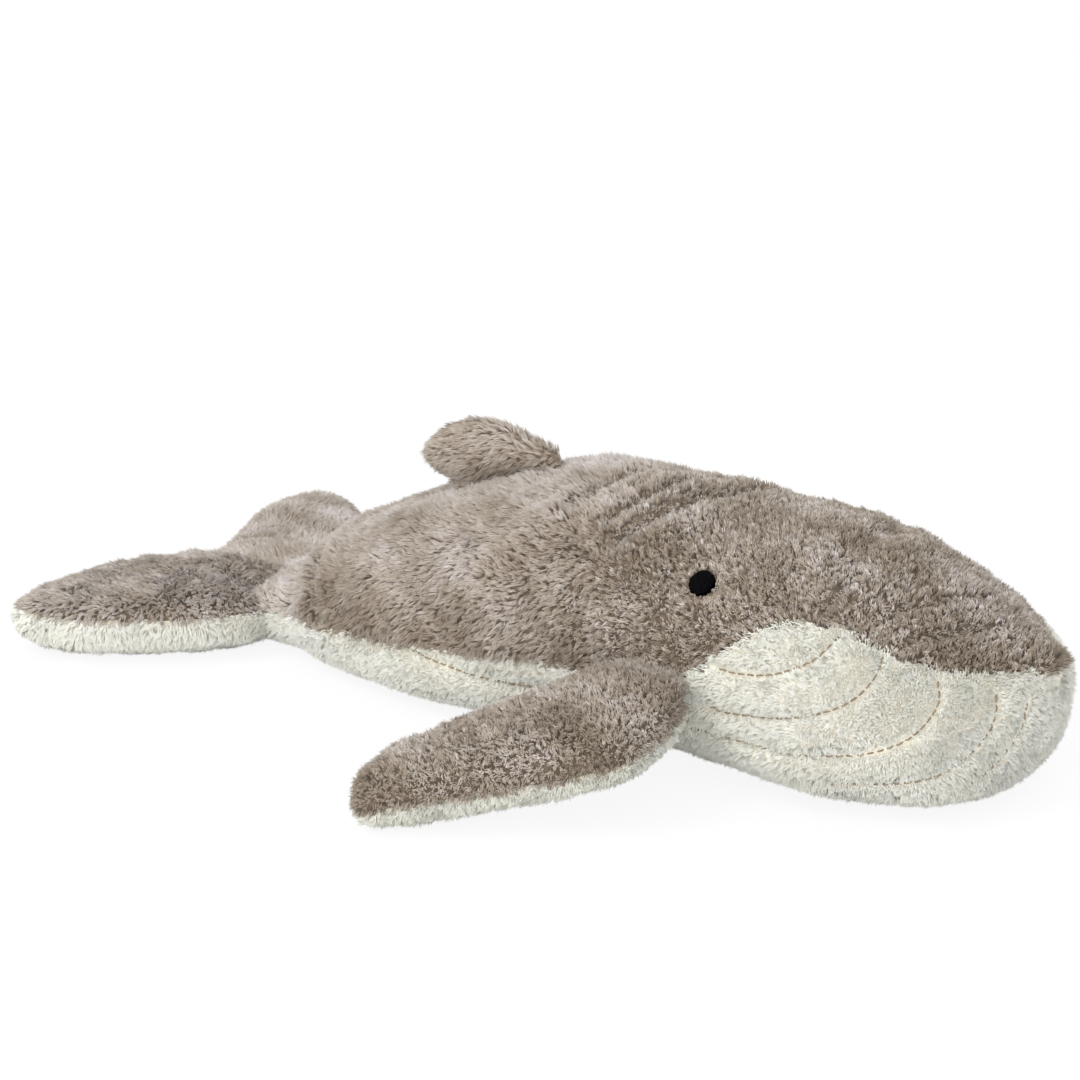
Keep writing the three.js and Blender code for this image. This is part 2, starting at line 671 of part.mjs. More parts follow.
// One row of topstitching, laid on the cloth
function pleatStitch(shares, side) {
  const guide = new THREE.SplineCurve(shares.map(([along, up]) => new THREE.Vector2(along, up)));
  const points = guide.getPoints(8 * shares.length).map(({ x: share, y: heightShare }) => {
    const angle = torsoAngle(share, TORSO_HEIGHT * heightShare);
    const normal = torsoNormal(share, angle);
    return mirror(torsoPoint(share, angle).addScaledVector(normal, THREAD_RADIUS + THREAD_LIFT), side);
  });
  const section = new THREE.Shape(
    [0, 1, 2, 3].map((k) => {
      const angle = (Math.PI / 2) * k;
      return new THREE.Vector2(THREAD_RADIUS * Math.cos(angle), THREAD_RADIUS * Math.sin(angle));
    }),
  );
  const extrudePath = new THREE.CatmullRomCurve3(points);
  const steps = Math.round(extrudePath.getLength() / STITCH_STEP);
  return solidOf(merged(new THREE.ExtrudeGeometry(section, { steps, extrudePath, curveSegments: 1 })));
}

function pleatStitches() {
  return PLEAT_SHARES.flatMap((shares, row) =>
    Object.entries(SIDES).map(([sideName, side]) => {
      return named(`pleat_stitch_${sideName}_${row + 1}`, pleatStitch(shares, side), BROWN_THREAD);
    }),
  );
}

const whale = new THREE.Group();
whale.add(...torsoPieces(), ...pleatStitches(), ...tailPieces(), ...dorsalPieces());
for (const sideName of Object.keys(SIDES)) whale.add(...flukePieces(sideName), ...pectoralPieces(sideName));

// The origin lies under the middle of the whole whale.
const middle = new THREE.Box3().setFromObject(whale).getCenter(new THREE.Vector3());
whale.position.x = -middle.x;

export default whale;
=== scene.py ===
# A plush whale with a real pile: cloth forms, combed tufts, topstitched throat pleats and embroidered
# eyes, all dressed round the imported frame. Shapes are worked out in millimetres and made in metres.
import json
import math

import bpy
import numpy as np
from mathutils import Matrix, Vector


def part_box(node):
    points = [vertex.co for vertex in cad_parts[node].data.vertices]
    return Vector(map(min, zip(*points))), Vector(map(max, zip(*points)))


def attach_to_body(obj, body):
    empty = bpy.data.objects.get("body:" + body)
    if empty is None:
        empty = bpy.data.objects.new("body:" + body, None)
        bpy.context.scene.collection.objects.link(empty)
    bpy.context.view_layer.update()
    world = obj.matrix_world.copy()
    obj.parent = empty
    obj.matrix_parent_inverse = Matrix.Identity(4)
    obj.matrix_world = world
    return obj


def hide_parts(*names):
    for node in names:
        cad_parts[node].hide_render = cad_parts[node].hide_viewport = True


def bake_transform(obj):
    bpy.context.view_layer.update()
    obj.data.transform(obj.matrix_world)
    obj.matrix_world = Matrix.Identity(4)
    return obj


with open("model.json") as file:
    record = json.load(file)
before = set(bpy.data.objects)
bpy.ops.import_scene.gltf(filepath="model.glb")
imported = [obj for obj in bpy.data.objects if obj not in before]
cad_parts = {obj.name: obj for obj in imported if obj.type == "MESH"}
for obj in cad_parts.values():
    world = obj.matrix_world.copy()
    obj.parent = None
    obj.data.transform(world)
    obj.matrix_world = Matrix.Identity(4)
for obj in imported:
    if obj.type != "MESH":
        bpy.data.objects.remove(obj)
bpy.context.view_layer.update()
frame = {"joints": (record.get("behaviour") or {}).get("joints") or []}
SEED = 20
rng = np.random.default_rng(SEED)

MM = 0.001
TURN = 2 * math.pi
SIDES = {"left": 1, "right": -1}
X, Y, Z = np.eye(3)
TINY, LEAST_HEIGHT = 1e-12, 1e-6

# Torso: share of the length from the rear, half-width, ridge, keel, widest level, squareness above
# and below. Widths are shares of the half-width and heights shares of the height.
TORSO_LENGTH, TORSO_HALF_WIDTH, TORSO_HEIGHT = 337.5, 70.5, 92.0
TORSO_ROWS = np.array([
    [-0.1, 0.52, 0.21, 0.0, 0.15, 2.2, 3.0],
    [0.0, 0.635, 0.35, 0.0, 0.152, 2.0, 3.0],
    [0.03, 0.685, 0.46, 0.0, 0.168, 2.0, 2.8],
    [0.065, 0.745, 0.565, 0.0, 0.185, 2.0, 2.8],
    [0.113, 0.823, 0.645, 0.0, 0.207, 2.1, 3.7],
    [0.166, 0.879, 0.722, 0.0, 0.228, 2.15, 4.3],
    [0.243, 0.915, 0.826, 0.0, 0.25, 2.15, 4.6],
    [0.332, 0.936, 0.938, 0.0, 0.283, 2.15, 4.8],
    [0.412, 0.936, 1.0, 0.0, 0.304, 2.15, 4.2],
    [0.51, 0.943, 1.0, 0.0, 0.326, 2.1, 3.2],
    [0.599, 0.965, 0.984, 0.0, 0.337, 2.05, 2.6],
    [0.687, 0.986, 0.965, 0.0, 0.337, 2.0, 3.0],
    [0.761, 1.0, 0.93, 0.0, 0.337, 1.85, 3.4],
    [0.821, 0.986, 0.885, 0.0, 0.337, 1.75, 3.8],
    [0.865, 0.929, 0.82, 0.0, 0.342, 1.6, 4.2],
    [0.91, 0.81, 0.745, 0.0, 0.359, 1.5, 4.2],
    [0.945, 0.625, 0.675, 0.03, 0.385, 1.45, 3.4],
    [0.972, 0.42, 0.62, 0.11, 0.41, 1.5, 2.9],
    [0.987, 0.275, 0.6, 0.2, 0.43, 1.7, 2.6],
    [0.996, 0.15, 0.57, 0.31, 0.46, 2.0, 2.3],
    [1.0, 0.0, 0.5, 0.5, 0.5, 2.0, 2.0],
])
# The seam between the taupe back and the cream belly: share of the length, share of the height
BORDER_ROWS = np.array([
    [0.0, 0.207], [0.089, 0.235], [0.157, 0.268], [0.213, 0.284], [0.272, 0.291], [0.335, 0.304],
    [0.406, 0.334], [0.461, 0.358], [0.501, 0.37], [0.569, 0.391], [0.622, 0.435], [0.651, 0.49],
    [0.674, 0.549], [0.696, 0.625], [0.719, 0.696], [0.747, 0.732], [0.77, 0.746], [0.785, 0.741],
    [0.809, 0.735], [0.856, 0.675], [0.911, 0.605], [0.94, 0.592], [0.972, 0.583], [0.99, 0.57],
    [1.0, 0.54],
])
REAR_ROUNDING = (-0.1, -0.045)  # shares between which the blunt rear end rounds off
REAR_BLUNTNESS, ROOT_BLUNTNESS = 2.8, 4  # how squarely the rear end and the fins' roots round off
SNOUT_INSET, PILE_REACH = 2.0, 4.2
COVER_DEPTH, FIN_DEPTH = 4.5, 3.4  # how far the cloth lies under the outer face of its pile

# Topstitched pleats: share of the length, share of the height
PLEATS = [
    [(0.807, 0.7), (0.79, 0.61), (0.753, 0.54), (0.71, 0.514), (0.676, 0.52)],
    [(0.856, 0.64), (0.855, 0.565), (0.835, 0.47), (0.79, 0.402), (0.725, 0.358), (0.676, 0.345)],
    [(0.91, 0.565), (0.92, 0.475), (0.907, 0.37), (0.87, 0.293), (0.822, 0.258), (0.75, 0.234),
     (0.612, 0.228), (0.475, 0.234), (0.38, 0.218), (0.312, 0.23), (0.25, 0.28)],
    [(0.962, 0.5), (0.966, 0.42), (0.958, 0.31), (0.932, 0.2), (0.89, 0.147), (0.82, 0.12)],
    [(0.986, 0.45), (0.982, 0.32), (0.968, 0.21), (0.945, 0.115)],
]

# Creases in the stuffed cloth: side, depth, width, then share of the length, degrees up from the side
CREASES = [
    (-1, 3.1, 3.8, [(0.492, 60), (0.507, 70), (0.518, 77), (0.527, 88), (0.532, 98), (0.538, 110)]),
    (-1, 2.6, 4.5, [(0.515, 50), (0.529, 60), (0.543, 68), (0.561, 78), (0.585, 90), (0.6, 102)]),
    (-1, 2.0, 3.6, [(0.43, 62), (0.445, 72), (0.45, 82), (0.46, 95)]),
    (-1, 2.6, 2.6, [(0.784, 46), (0.79, 57), (0.795, 63)]),
    (-1, 1.9, 6.0, [(0.785, 64), (0.78, 76), (0.777, 90), (0.775, 105)]),
    (-1, 1.5, 2.6, [(0.85, 57), (0.862, 62), (0.886, 73), (0.908, 89)]),
    (-1, 1.5, 2.6, [(0.87, 45), (0.886, 52), (0.91, 61), (0.938, 75)]),
    (-1, 3.0, 3.5, [(0.06, 54), (0.076, 37), (0.092, 23), (0.112, 9)]),
    (-1, 1.3, 8.0, [(0.11, 48), (0.135, 28), (0.155, 13)]),
    (-1, 1.8, 4.5, [(0.6, 44), (0.615, 33), (0.633, 25), (0.651, 15)]),
    (-1, 1.4, 5.0, [(0.495, 30), (0.515, 15), (0.529, 5)]),
    (-1, 1.2, 6.0, [(0.33, 30), (0.36, 48), (0.38, 62)]),
    (1, 2.0, 4.5, [(0.5, 50), (0.535, 60), (0.58, 66)]),
    (1, 1.8, 4.5, [(0.6, 46), (0.618, 34), (0.64, 22)]),
    (1, 2.0, 3.5, [(0.07, 50), (0.088, 32), (0.105, 14)]),
    (1, 1.4, 6.0, [(0.26, 24), (0.29, 44), (0.3, 60)]),
    (1, 1.5, 3.0, [(0.85, 46), (0.88, 58), (0.91, 70)]),
    (1, 1.3, 5.0, [(0.74, 52), (0.76, 66), (0.765, 78)]),
]

# How far the cloth sinks or swells, and over what width
LUMP_RISE, RIPPLE_RISE = 1.1, 0.5
PLEAT_DEPTH, PLEAT_WIDTH, PLEAT_REACH = 1.7, 2.6, 8.0
SEAT_DEPTH, SEAT_WIDTH = 0.8, 8.0  # where an eye is sewn on
SEAM_DEPTH, SEAM_WIDTH = 0.9, 3.0
LIP_SHARE, LIP_AT = 0.5, 1.6  # a crease's raised lip: share of its depth, and where in widths
REACH_IN_WIDTHS = 3
FIN_LUMPS, FIN_RIPPLES, FIN_CREASE_WIDTH = 0.7, 0.6, 6.0
TORSO_FREE, FIN_FREE = (4.0, 12.0), (3.0, 9.0)  # heights over which the cloth comes free of the floor
CREASE_STEPS, PLEAT_STEPS, STITCH_STEPS = 8, 12, 40

EYE_ALONG, EYE_HEIGHT, EYE_RADIUS, EYE_TALL, EYE_SINK = 0.64, 0.789, 4.7, 1.1, 0.3
# The torso's rear corners swell out over the flukes: share of the length, height, rise and width
CORNER_ALONG, CORNER_HEIGHT, CORNER_RISE, CORNER_WIDTH = -0.015, 0.24, 7.0, 9.5

HINGE_BACK, HINGE_HEIGHT = 8.0, 14.0
rear_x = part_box("belly_panel")[0].x / MM
hinge = np.array([rear_x - HINGE_BACK, 0.0, HINGE_HEIGHT])


# A smooth curve through rows of [share, value, ...] that doesn't overshoot them
def curve(rows, column, share):
    x, y = rows[:, 0], rows[:, column]
    slope = np.diff(y) / np.diff(x)
    tangent = np.empty_like(y)
    tangent[0], tangent[-1] = slope[0], slope[-1]
    before, after = slope[:-1], slope[1:]
    agree = before * after > 0
    tangent[1:-1] = np.where(agree, 2 * before * after / np.where(agree, before + after, 1), 0)
    at = np.clip(share, x[0], x[-1])
    i = np.clip(np.searchsorted(x, at, side="right") - 1, 0, len(x) - 2)
    step = x[i + 1] - x[i]
    t = (at - x[i]) / step
    return ((2 * t**3 - 3 * t**2 + 1) * y[i] + (t**3 - 2 * t**2 + t) * step * tangent[i]
            + (3 * t**2 - 2 * t**3) * y[i + 1] + (t**3 - t**2) * step * tangent[i + 1])


def superellipse(a, b, squareness, angle):
    def bend(value):
        return np.sign(value) * np.abs(value) ** (2 / squareness)
    return a * bend(np.cos(angle)), b * bend(np.sin(angle))


# A half axis with a depth of pile taken off it, which never falls below zero
def less(size, depth):
    return size * size / (size + depth)


def unit(v):
    return v / np.maximum(np.linalg.norm(v, axis=-1, keepdims=True), TINY)


def smooth(x, low, high):
    t = np.clip((x - low) / (high - low), 0, 1)
    return t * t * (3 - 2 * t)


# A soft hollow, one deep in its middle
def hollow(x):
    return np.exp(-(x**2))


NOISE_STRETCH = (0.7, 1.4)


# Smooth noise in space from a sum of random waves, about -1 to 1
def make_noise(wavelength, seed, waves=9):
    own = np.random.default_rng(seed)
    ways = unit(own.normal(size=(waves, 3))) * TURN / wavelength
    ways *= own.uniform(*NOISE_STRETCH, (waves, 1))
    phases = own.uniform(0, TURN, waves)
    return lambda p: np.sin(p @ ways.T + phases).sum(-1) / math.sqrt(waves)


lumps = make_noise(62, 3)
ripples = make_noise(24, 4)
swirl_wide = make_noise(46, 5)
swirl_fine = make_noise(15, 6)
patches = make_noise(32, 7)
speckle = make_noise(9, 8)


def torso_section(share):
    widths, ridge, keel, widest, above, below = [curve(TORSO_ROWS, k, share) for k in range(1, 7)]
    low, high = REAR_ROUNDING
    inwards = np.clip((high - share) / (high - low), 0, 1)
    rounding = (1 - inwards**REAR_BLUNTNESS) ** (1 / REAR_BLUNTNESS)
    return (TORSO_HALF_WIDTH * widths * rounding, TORSO_HEIGHT * (ridge - widest) * rounding,
            TORSO_HEIGHT * (widest - keel) * rounding, TORSO_HEIGHT * widest, above, below)


# A point on the torso. The angle runs from the left side over the ridge to the right side.
def torso_shape(share, angle, depth):
    half_width, up, down, widest, above, below = torso_section(share)
    upper = np.sin(angle) >= 0
    height = np.where(upper, up, down)
    squareness = np.where(upper, above, below)
    y, z = superellipse(less(half_width, depth), less(height, depth), squareness, angle)
    x = rear_x + depth + (TORSO_LENGTH - depth - SNOUT_INSET) * share
    return np.stack([x, y, widest + z], -1)


def torso_angle(share, height):
    _, up, down, widest, above, below = torso_section(share)
    high = np.arcsin(np.clip((height - widest) / np.maximum(up, LEAST_HEIGHT), 0, 1) ** (above / 2))
    low = -np.arcsin(np.clip((widest - height) / np.maximum(down, LEAST_HEIGHT), 0, 1) ** (below / 2))
    return np.where(height >= widest, high, low)


def border_height(share):
    return TORSO_HEIGHT * curve(BORDER_ROWS, 1, share)


def mirrored(points, side):
    return points * np.array([1.0, side, 1.0])


# Evenly stepped rows on a smooth curve through a few given ones
def smooth_rows(rows, per_span):
    rows = np.array(rows)
    padded = np.vstack([2 * rows[0] - rows[1], rows, 2 * rows[-1] - rows[-2]])
    made = []
    for i in range(1, len(padded) - 2):
        t = np.linspace(0, 1, per_span, endpoint=False)[:, None]
        a, b, c, d = padded[i - 1:i + 3]
        made.append(0.5 * (2 * b + (c - a) * t + (2 * a - 5 * b + 4 * c - d) * t**2
                           + (3 * b - a - 3 * c + d) * t**3))
    return np.vstack([*made, rows[-1:]])


# Shares and angles along a pleat of the left side
def pleat_run(rows, per_span):
    share, height = smooth_rows(rows, per_span).T
    return share, torso_angle(share, TORSO_HEIGHT * height)


def crease_line(rows, side):
    share, degrees = smooth_rows(rows, CREASE_STEPS).T
    return mirrored(torso_shape(share, np.radians(degrees), COVER_DEPTH), side)


# A single place on the left side
def torso_spot(along, height, depth):
    share = np.array([along])
    return torso_shape(share, torso_angle(share, TORSO_HEIGHT * height), depth)


pleat_points = np.vstack([torso_shape(*pleat_run(rows, PLEAT_STEPS), COVER_DEPTH) for rows in PLEATS])
creases = [(depth, width, crease_line(rows, side)) for side, depth, width, rows in CREASES]
eye_spot = torso_spot(EYE_ALONG, EYE_HEIGHT, 0)
corner_spot = torso_spot(CORNER_ALONG, CORNER_HEIGHT, COVER_DEPTH)


# Distance from each point to the nearest of some others, and the way to it, where they are in reach
def nearest(points, others, reach=30.0, chunk=4000):
    distance, way = np.full(len(points), reach), np.tile(X, (len(points), 1))
    low, high = others.min(0) - reach, others.max(0) + reach
    close = np.flatnonzero(((points > low) & (points < high)).all(1))
    for i in range(0, len(close), chunk):
        here = close[i:i + chunk]
        gap = others[None] - points[here, None]
        squared = (gap**2).sum(-1)
        best = squared.argmin(1)
        row = np.arange(len(best))
        distance[here] = np.sqrt(squared[row, best])
        way[here] = gap[row, best]
    return distance, way


# The same for things that both sides have, given on the left one
def nearest_mirrored(points, others, reach=30.0):
    side = np.where(points[:, 1:2] < 0, -1.0, 1.0)
    flip = np.hstack([np.ones_like(side), side, np.ones_like(side)])
    distance, way = nearest(points * flip, others, reach)
    return distance, way * flip


# How far the cloth swells or sinks: lumps, creases, sewn pleats, the colour seam and the eyes' seats
def torso_relief(share, points):
    shape = points.reshape(-1, 3)
    relief = LUMP_RISE * lumps(shape) + RIPPLE_RISE * ripples(shape)
    to_pleat, _ = nearest_mirrored(shape, pleat_points, PLEAT_REACH)
    relief -= PLEAT_DEPTH * hollow(to_pleat / PLEAT_WIDTH)
    to_eye, _ = nearest_mirrored(shape, eye_spot, REACH_IN_WIDTHS * SEAT_WIDTH)
    relief -= SEAT_DEPTH * hollow(to_eye / SEAT_WIDTH)
    for depth, width, line in creases:
        to_line, _ = nearest(shape, line, REACH_IN_WIDTHS * width)
        relief -= depth * (hollow(to_line / width) - LIP_SHARE * hollow(to_line / width - LIP_AT))
    relief -= SEAM_DEPTH * hollow((shape[:, 2] - border_height(share.reshape(-1))) / SEAM_WIDTH)
    return relief * smooth(shape[:, 2], *TORSO_FREE)


def torso_middle(share, points):
    return np.stack([points[..., 0], 0 * share, torso_section(share)[3]], -1)


# Moves points of the torso out from its middle line
def swollen(share, points, rise):
    outwards = unit(points - torso_middle(share, points))
    return points + outwards * rise.reshape(points.shape[:-1])[..., None]


def torso_body(share, angle):
    points = torso_shape(share, angle, COVER_DEPTH)
    reach = REACH_IN_WIDTHS * CORNER_WIDTH
    to_corner, _ = nearest_mirrored(points.reshape(-1, 3), corner_spot, reach)
    return swollen(share, points, CORNER_RISE * hollow(to_corner / CORNER_WIDTH))


def torso_cloth(share, angle):
    points = torso_body(share, angle)
    return swollen(share, points, torso_relief(share, points))


def torso_core(share):
    return torso_middle(share, torso_shape(share, np.zeros_like(share), COVER_DEPTH))


# A fin: rows of [share of the span, leading edge, trailing edge, thickness], and how it is placed. Its root
# rounds off inside what carries it. The crease says how deep, and at which share of the span.
def make_fin(rows, span, chord, half_thickness, place, squareness, root_inset, depth=FIN_DEPTH, relief=0.6,
             crease=(0.0, 0.2)):
    rows = np.array(rows)
    inside = -root_inset / span

    def section(share):
        lead, trail, thick = [curve(rows, k, np.maximum(share, 0)) for k in range(1, 4)]
        closing = np.sqrt(np.clip(1 - (np.minimum(share, 0) / inside) ** ROOT_BLUNTNESS, 0, 1))
        half_chord = chord * np.abs(lead - trail) / 2 * closing
        return chord * (lead + trail) / 2, half_chord, half_thickness * thick * closing

    def outwards(share):
        return np.where(share < 0, share * span, share * (span - depth))

    def shape(share, angle):
        middle, half_chord, half_thick = section(share)
        along, up = superellipse(less(half_chord, depth), less(half_thick, depth), squareness, angle)
        return place(outwards(share), middle + along, up)

    def core(share):
        return place(outwards(share), section(share)[0], 0 * share)

    def cloth(share, angle):
        points = shape(share, angle)
        grow = relief * (FIN_LUMPS * lumps(points) + FIN_RIPPLES * ripples(points))
        grow -= crease[0] * hollow((share - crease[1]) * span / FIN_CREASE_WIDTH)
        return points + unit(points - core(share)) * (grow * smooth(points[..., 2], *FIN_FREE))[..., None]

    return {"shape": shape, "cloth": cloth, "core": core, "shares": (inside, 1.0)}


FLUKE_ROWS = {
    "left": [
        [0.0, -0.05, 0.76, 0.88], [0.1, 0.02, 0.8, 0.92], [0.22, 0.11, 0.835, 0.98],
        [0.345, 0.175, 0.865, 1.0], [0.46, 0.24, 0.89, 1.0], [0.58, 0.31, 0.905, 0.97],
        [0.7, 0.4, 0.905, 0.91], [0.82, 0.51, 0.895, 0.8], [0.915, 0.61, 0.865, 0.66],
        [0.975, 0.7, 0.83, 0.42], [1.0, 0.77, 0.77, 0.0],
    ],
    "right": [
        [0.0, -0.09, 0.8, 0.95], [0.1, -0.07, 0.885, 1.0], [0.22, -0.03, 0.93, 1.03],
        [0.345, 0.005, 0.965, 1.03], [0.46, 0.05, 0.98, 1.0], [0.58, 0.135, 0.995, 0.97],
        [0.7, 0.25, 1.0, 0.92], [0.82, 0.385, 0.99, 0.84], [0.915, 0.52, 0.96, 0.72],
        [0.975, 0.645, 0.91, 0.48], [1.0, 0.79, 0.79, 0.0],
    ],
}
FLUKE_SPANS = {"left": 77.0, "right": 85.0}
FLUKE_ROOT_Y, FLUKE_CHORD, FLUKE_AHEAD, FLUKE_HALF_THICKNESS = 21.0, 100.0, 13.5, 14.5
FLUKE_SEAM_RISE = 4.0
PECTORAL_ROWS = [
    [0.0, 0.2, -0.2, 0.32], [0.04, 0.25, -0.23, 0.56], [0.11, 0.3, -0.28, 0.8],
    [0.25, 0.34, -0.39, 0.95], [0.41, 0.31, -0.54, 1.0], [0.53, 0.185, -0.64, 1.0],
    [0.65, 0.0, -0.74, 0.98], [0.78, -0.235, -0.82, 0.93], [0.88, -0.42, -0.83, 0.83],
    [0.95, -0.57, -0.79, 0.66], [0.985, -0.64, -0.75, 0.42], [1.0, -0.7, -0.7, 0.0],
]
PECTORAL_SPAN, PECTORAL_CHORD, PECTORAL_HALF_THICKNESS = 108.0, 80.0, 13.5
DORSAL_ROWS = [
    [0.0, 0.46, -0.41, 0.375], [0.14, 0.445, -0.445, 0.7], [0.32, 0.36, -0.49, 0.95],
    [0.5, 0.27, -0.55, 1.0], [0.66, 0.19, -0.565, 0.95], [0.8, 0.1, -0.5, 0.8],
    [0.91, 0.0, -0.4, 0.58], [0.975, -0.09, -0.3, 0.3], [1.0, -0.19, -0.19, 0.0],
]
DORSAL_HEIGHT, DORSAL_LENGTH, DORSAL_HALF_THICKNESS = 26.5, 66.0, 8.0
# The tail joins the torso's rear to the flukes: share of its length, half-width and half-thickness
TAIL_ROWS = [
    [0.0, -34.0, 34.0, 11.0], [0.2, -36.0, 36.0, 12.5], [0.4, -36.0, 36.0, 13.0],
    [0.6, -33.0, 33.0, 13.2], [0.75, -27.0, 27.0, 13.0], [0.88, -20.0, 20.0, 11.8],
    [0.96, -12.0, 12.0, 8.0], [1.0, 0.0, 0.0, 0.0],
]
TAIL_START, TAIL_LENGTH = 10.0, 63.0

# How far behind the tail's seam, and how far before and past each fin's root
TAIL_BEND, FLUKE_BEND, PECTORAL_BEND, DORSAL_BEND = 20.0, (4, 14), (2, 16), (2, 8)
# The flukes' tones differ only as painted light and shade on one cloth
FLUKE_LIT_TONES = {"left": 0.47, "right": 0.55}
# Sections and points round them: the torso's cloth, a fin's cloth, and the grid for a fin's tufts
TORSO_MESH, FIN_MESH, FIN_TRIES = (130, 108), (64, 56), (80, 56)

joints = {joint["name"]: joint for joint in frame["joints"]}


def joint_place(name):
    return np.array(joints[name]["pos_m"]) / MM


pectoral_root = joint_place("pectoral_left_flap")
dorsal_root = joint_place("dorsal_flop")
dorsal_along = unit(np.array(joints["dorsal_flop"]["axis"]))
dorsal_up = np.cross(dorsal_along, -Y)
dorsal_up *= np.sign(dorsal_up[2])
PECTORAL_DROOP = 0.3045  # radians, from level down to where the fin lies on the floor


def placed(origin, first, second, third):
    return lambda a, b, c: origin + a[..., None] * first + b[..., None] * second + c[..., None] * third


def fluke(side_name):
    side = SIDES[side_name]
    origin = hinge + np.array([FLUKE_AHEAD, side * FLUKE_ROOT_Y, 0])
    return make_fin(FLUKE_ROWS[side_name], FLUKE_SPANS[side_name], FLUKE_CHORD, FLUKE_HALF_THICKNESS,
                    placed(origin, side * Y, -X, Z), squareness=2.3, root_inset=12.0, crease=(1.8, 0.2))


# The ways along a drooping pectoral fin and up from it
def pectoral_ways(side):
    down, level = math.sin(PECTORAL_DROOP), math.cos(PECTORAL_DROOP)
    return np.array([0, side * level, -down]), np.array([0, side * down, level])


def pectoral(side):
    out, up = pectoral_ways(side)
    return make_fin(PECTORAL_ROWS, PECTORAL_SPAN, PECTORAL_CHORD, PECTORAL_HALF_THICKNESS,
                    placed(mirrored(pectoral_root, side), out, X, up), squareness=2.3, root_inset=10.0)


def dorsal():
    return make_fin(DORSAL_ROWS, DORSAL_HEIGHT, DORSAL_LENGTH, DORSAL_HALF_THICKNESS,
                    placed(dorsal_root, dorsal_up, dorsal_along, Y), squareness=2.2, root_inset=8.0,
                    depth=2.8, relief=0.3)


def tail():
    origin = hinge + np.array([TAIL_START, 0, 0])
    return make_fin(TAIL_ROWS, TAIL_LENGTH, 1.0, 1.0, placed(origin, -X, Y, Z),
                    squareness=2.4, root_inset=4.0)


def torso_is_back(points, normals):
    tips = points + PILE_REACH * normals
    return tips[:, 2] > border_height((tips[:, 0] - rear_x) / TORSO_LENGTH)


torso = {"shape": torso_body, "cloth": torso_cloth, "core": torso_core, "shares": (REAR_ROUNDING[0], 1.0)}


NORMAL_STEP = 2e-3  # in share and in radians


def normals_of(surface, share, angle):
    cloth, step = surface["cloth"], NORMAL_STEP
    along = cloth(share + step, angle) - cloth(share - step, angle)
    round_it = cloth(share, angle + step) - cloth(share, angle - step)
    normal = unit(np.cross(round_it, along))
    outwards = cloth(share, angle) - surface["core"](share)
    return normal * np.where((normal * outwards).sum(-1) < 0, -1.0, 1.0)[:, None]


SCATTER_ROUNDS, TRIES_PER_PLACE, CELL_SPAN = 5, 8, 4096


# A whole number for the small cell that each point is in
def cell_keys(points, size):
    x, y, z = np.floor(points / size).astype(np.int64).T
    return (x * CELL_SPAN + y) * CELL_SPAN + z


# Places on a surface, evenly spread: random ones, each in a cell of its own of three shifted grids
def scatter(surface, spacing, stations=110, around=72):
    low, high = surface["shares"]
    shares, angles = np.linspace(low, high, stations + 1), np.linspace(0, TURN, around + 1)
    grid = surface["shape"](*np.meshgrid(shares, angles, indexing="ij"))
    across, down = grid[1:, :-1] - grid[:-1, :-1], grid[:-1, 1:] - grid[:-1, :-1]
    area = np.linalg.norm(np.cross(across, down), axis=-1)
    tries = int(area.sum() / spacing**2 * TRIES_PER_PLACE)
    cells = rng.choice(area.size, tries, p=(area / area.sum()).ravel())
    rows, columns = np.divmod(cells, around)
    share = shares[rows] + rng.random(tries) * (shares[1] - shares[0])
    angle = angles[columns] + rng.random(tries) * (angles[1] - angles[0])
    points = surface["shape"](share, angle)
    keys = [cell_keys(points + rng.random(3) * spacing, spacing) for _ in range(3)]
    kept = np.zeros(tries, bool)
    for _ in range(SCATTER_ROUNDS):
        free = ~kept
        for key in keys:
            free &= ~np.isin(key, key[kept])
        chosen = np.flatnonzero(free)
        for key in keys:
            chosen = chosen[np.unique(key[chosen], return_index=True)[1]]
        kept[chosen] = True
    share, angle = share[kept], angle[kept]
    return share, surface["cloth"](share, angle), normals_of(surface, share, angle)


def tangent_to(normal, way):
    return unit(way - normal * (way * normal).sum(-1, keepdims=True))


def turned(normal, way, angle):
    return way * np.cos(angle)[:, None] + np.cross(normal, way) * np.sin(angle)[:, None]


FLOOR_CLEARANCE = 0.25
STRAND_SIDES, STRAND_POINTS, STRAND_FACES = 3, 5, 6
MOST_STRANDS = 32000  # in one piece
TALL_RANGE, LEAN_RANGE, THICK_RANGE = (0.7, 1.06), (0.75, 1.2), (0.8, 1.2)
ROOT_DEPTH, STRAND_WANDER, TIP_RETURN = 0.8, 0.26, 0.3
STRAND_TONE, TONE_RANGE = 0.09, (0.02, 0.98)
ROOT_ON_MAP, TIP_ON_MAP = 0.05, 0.96


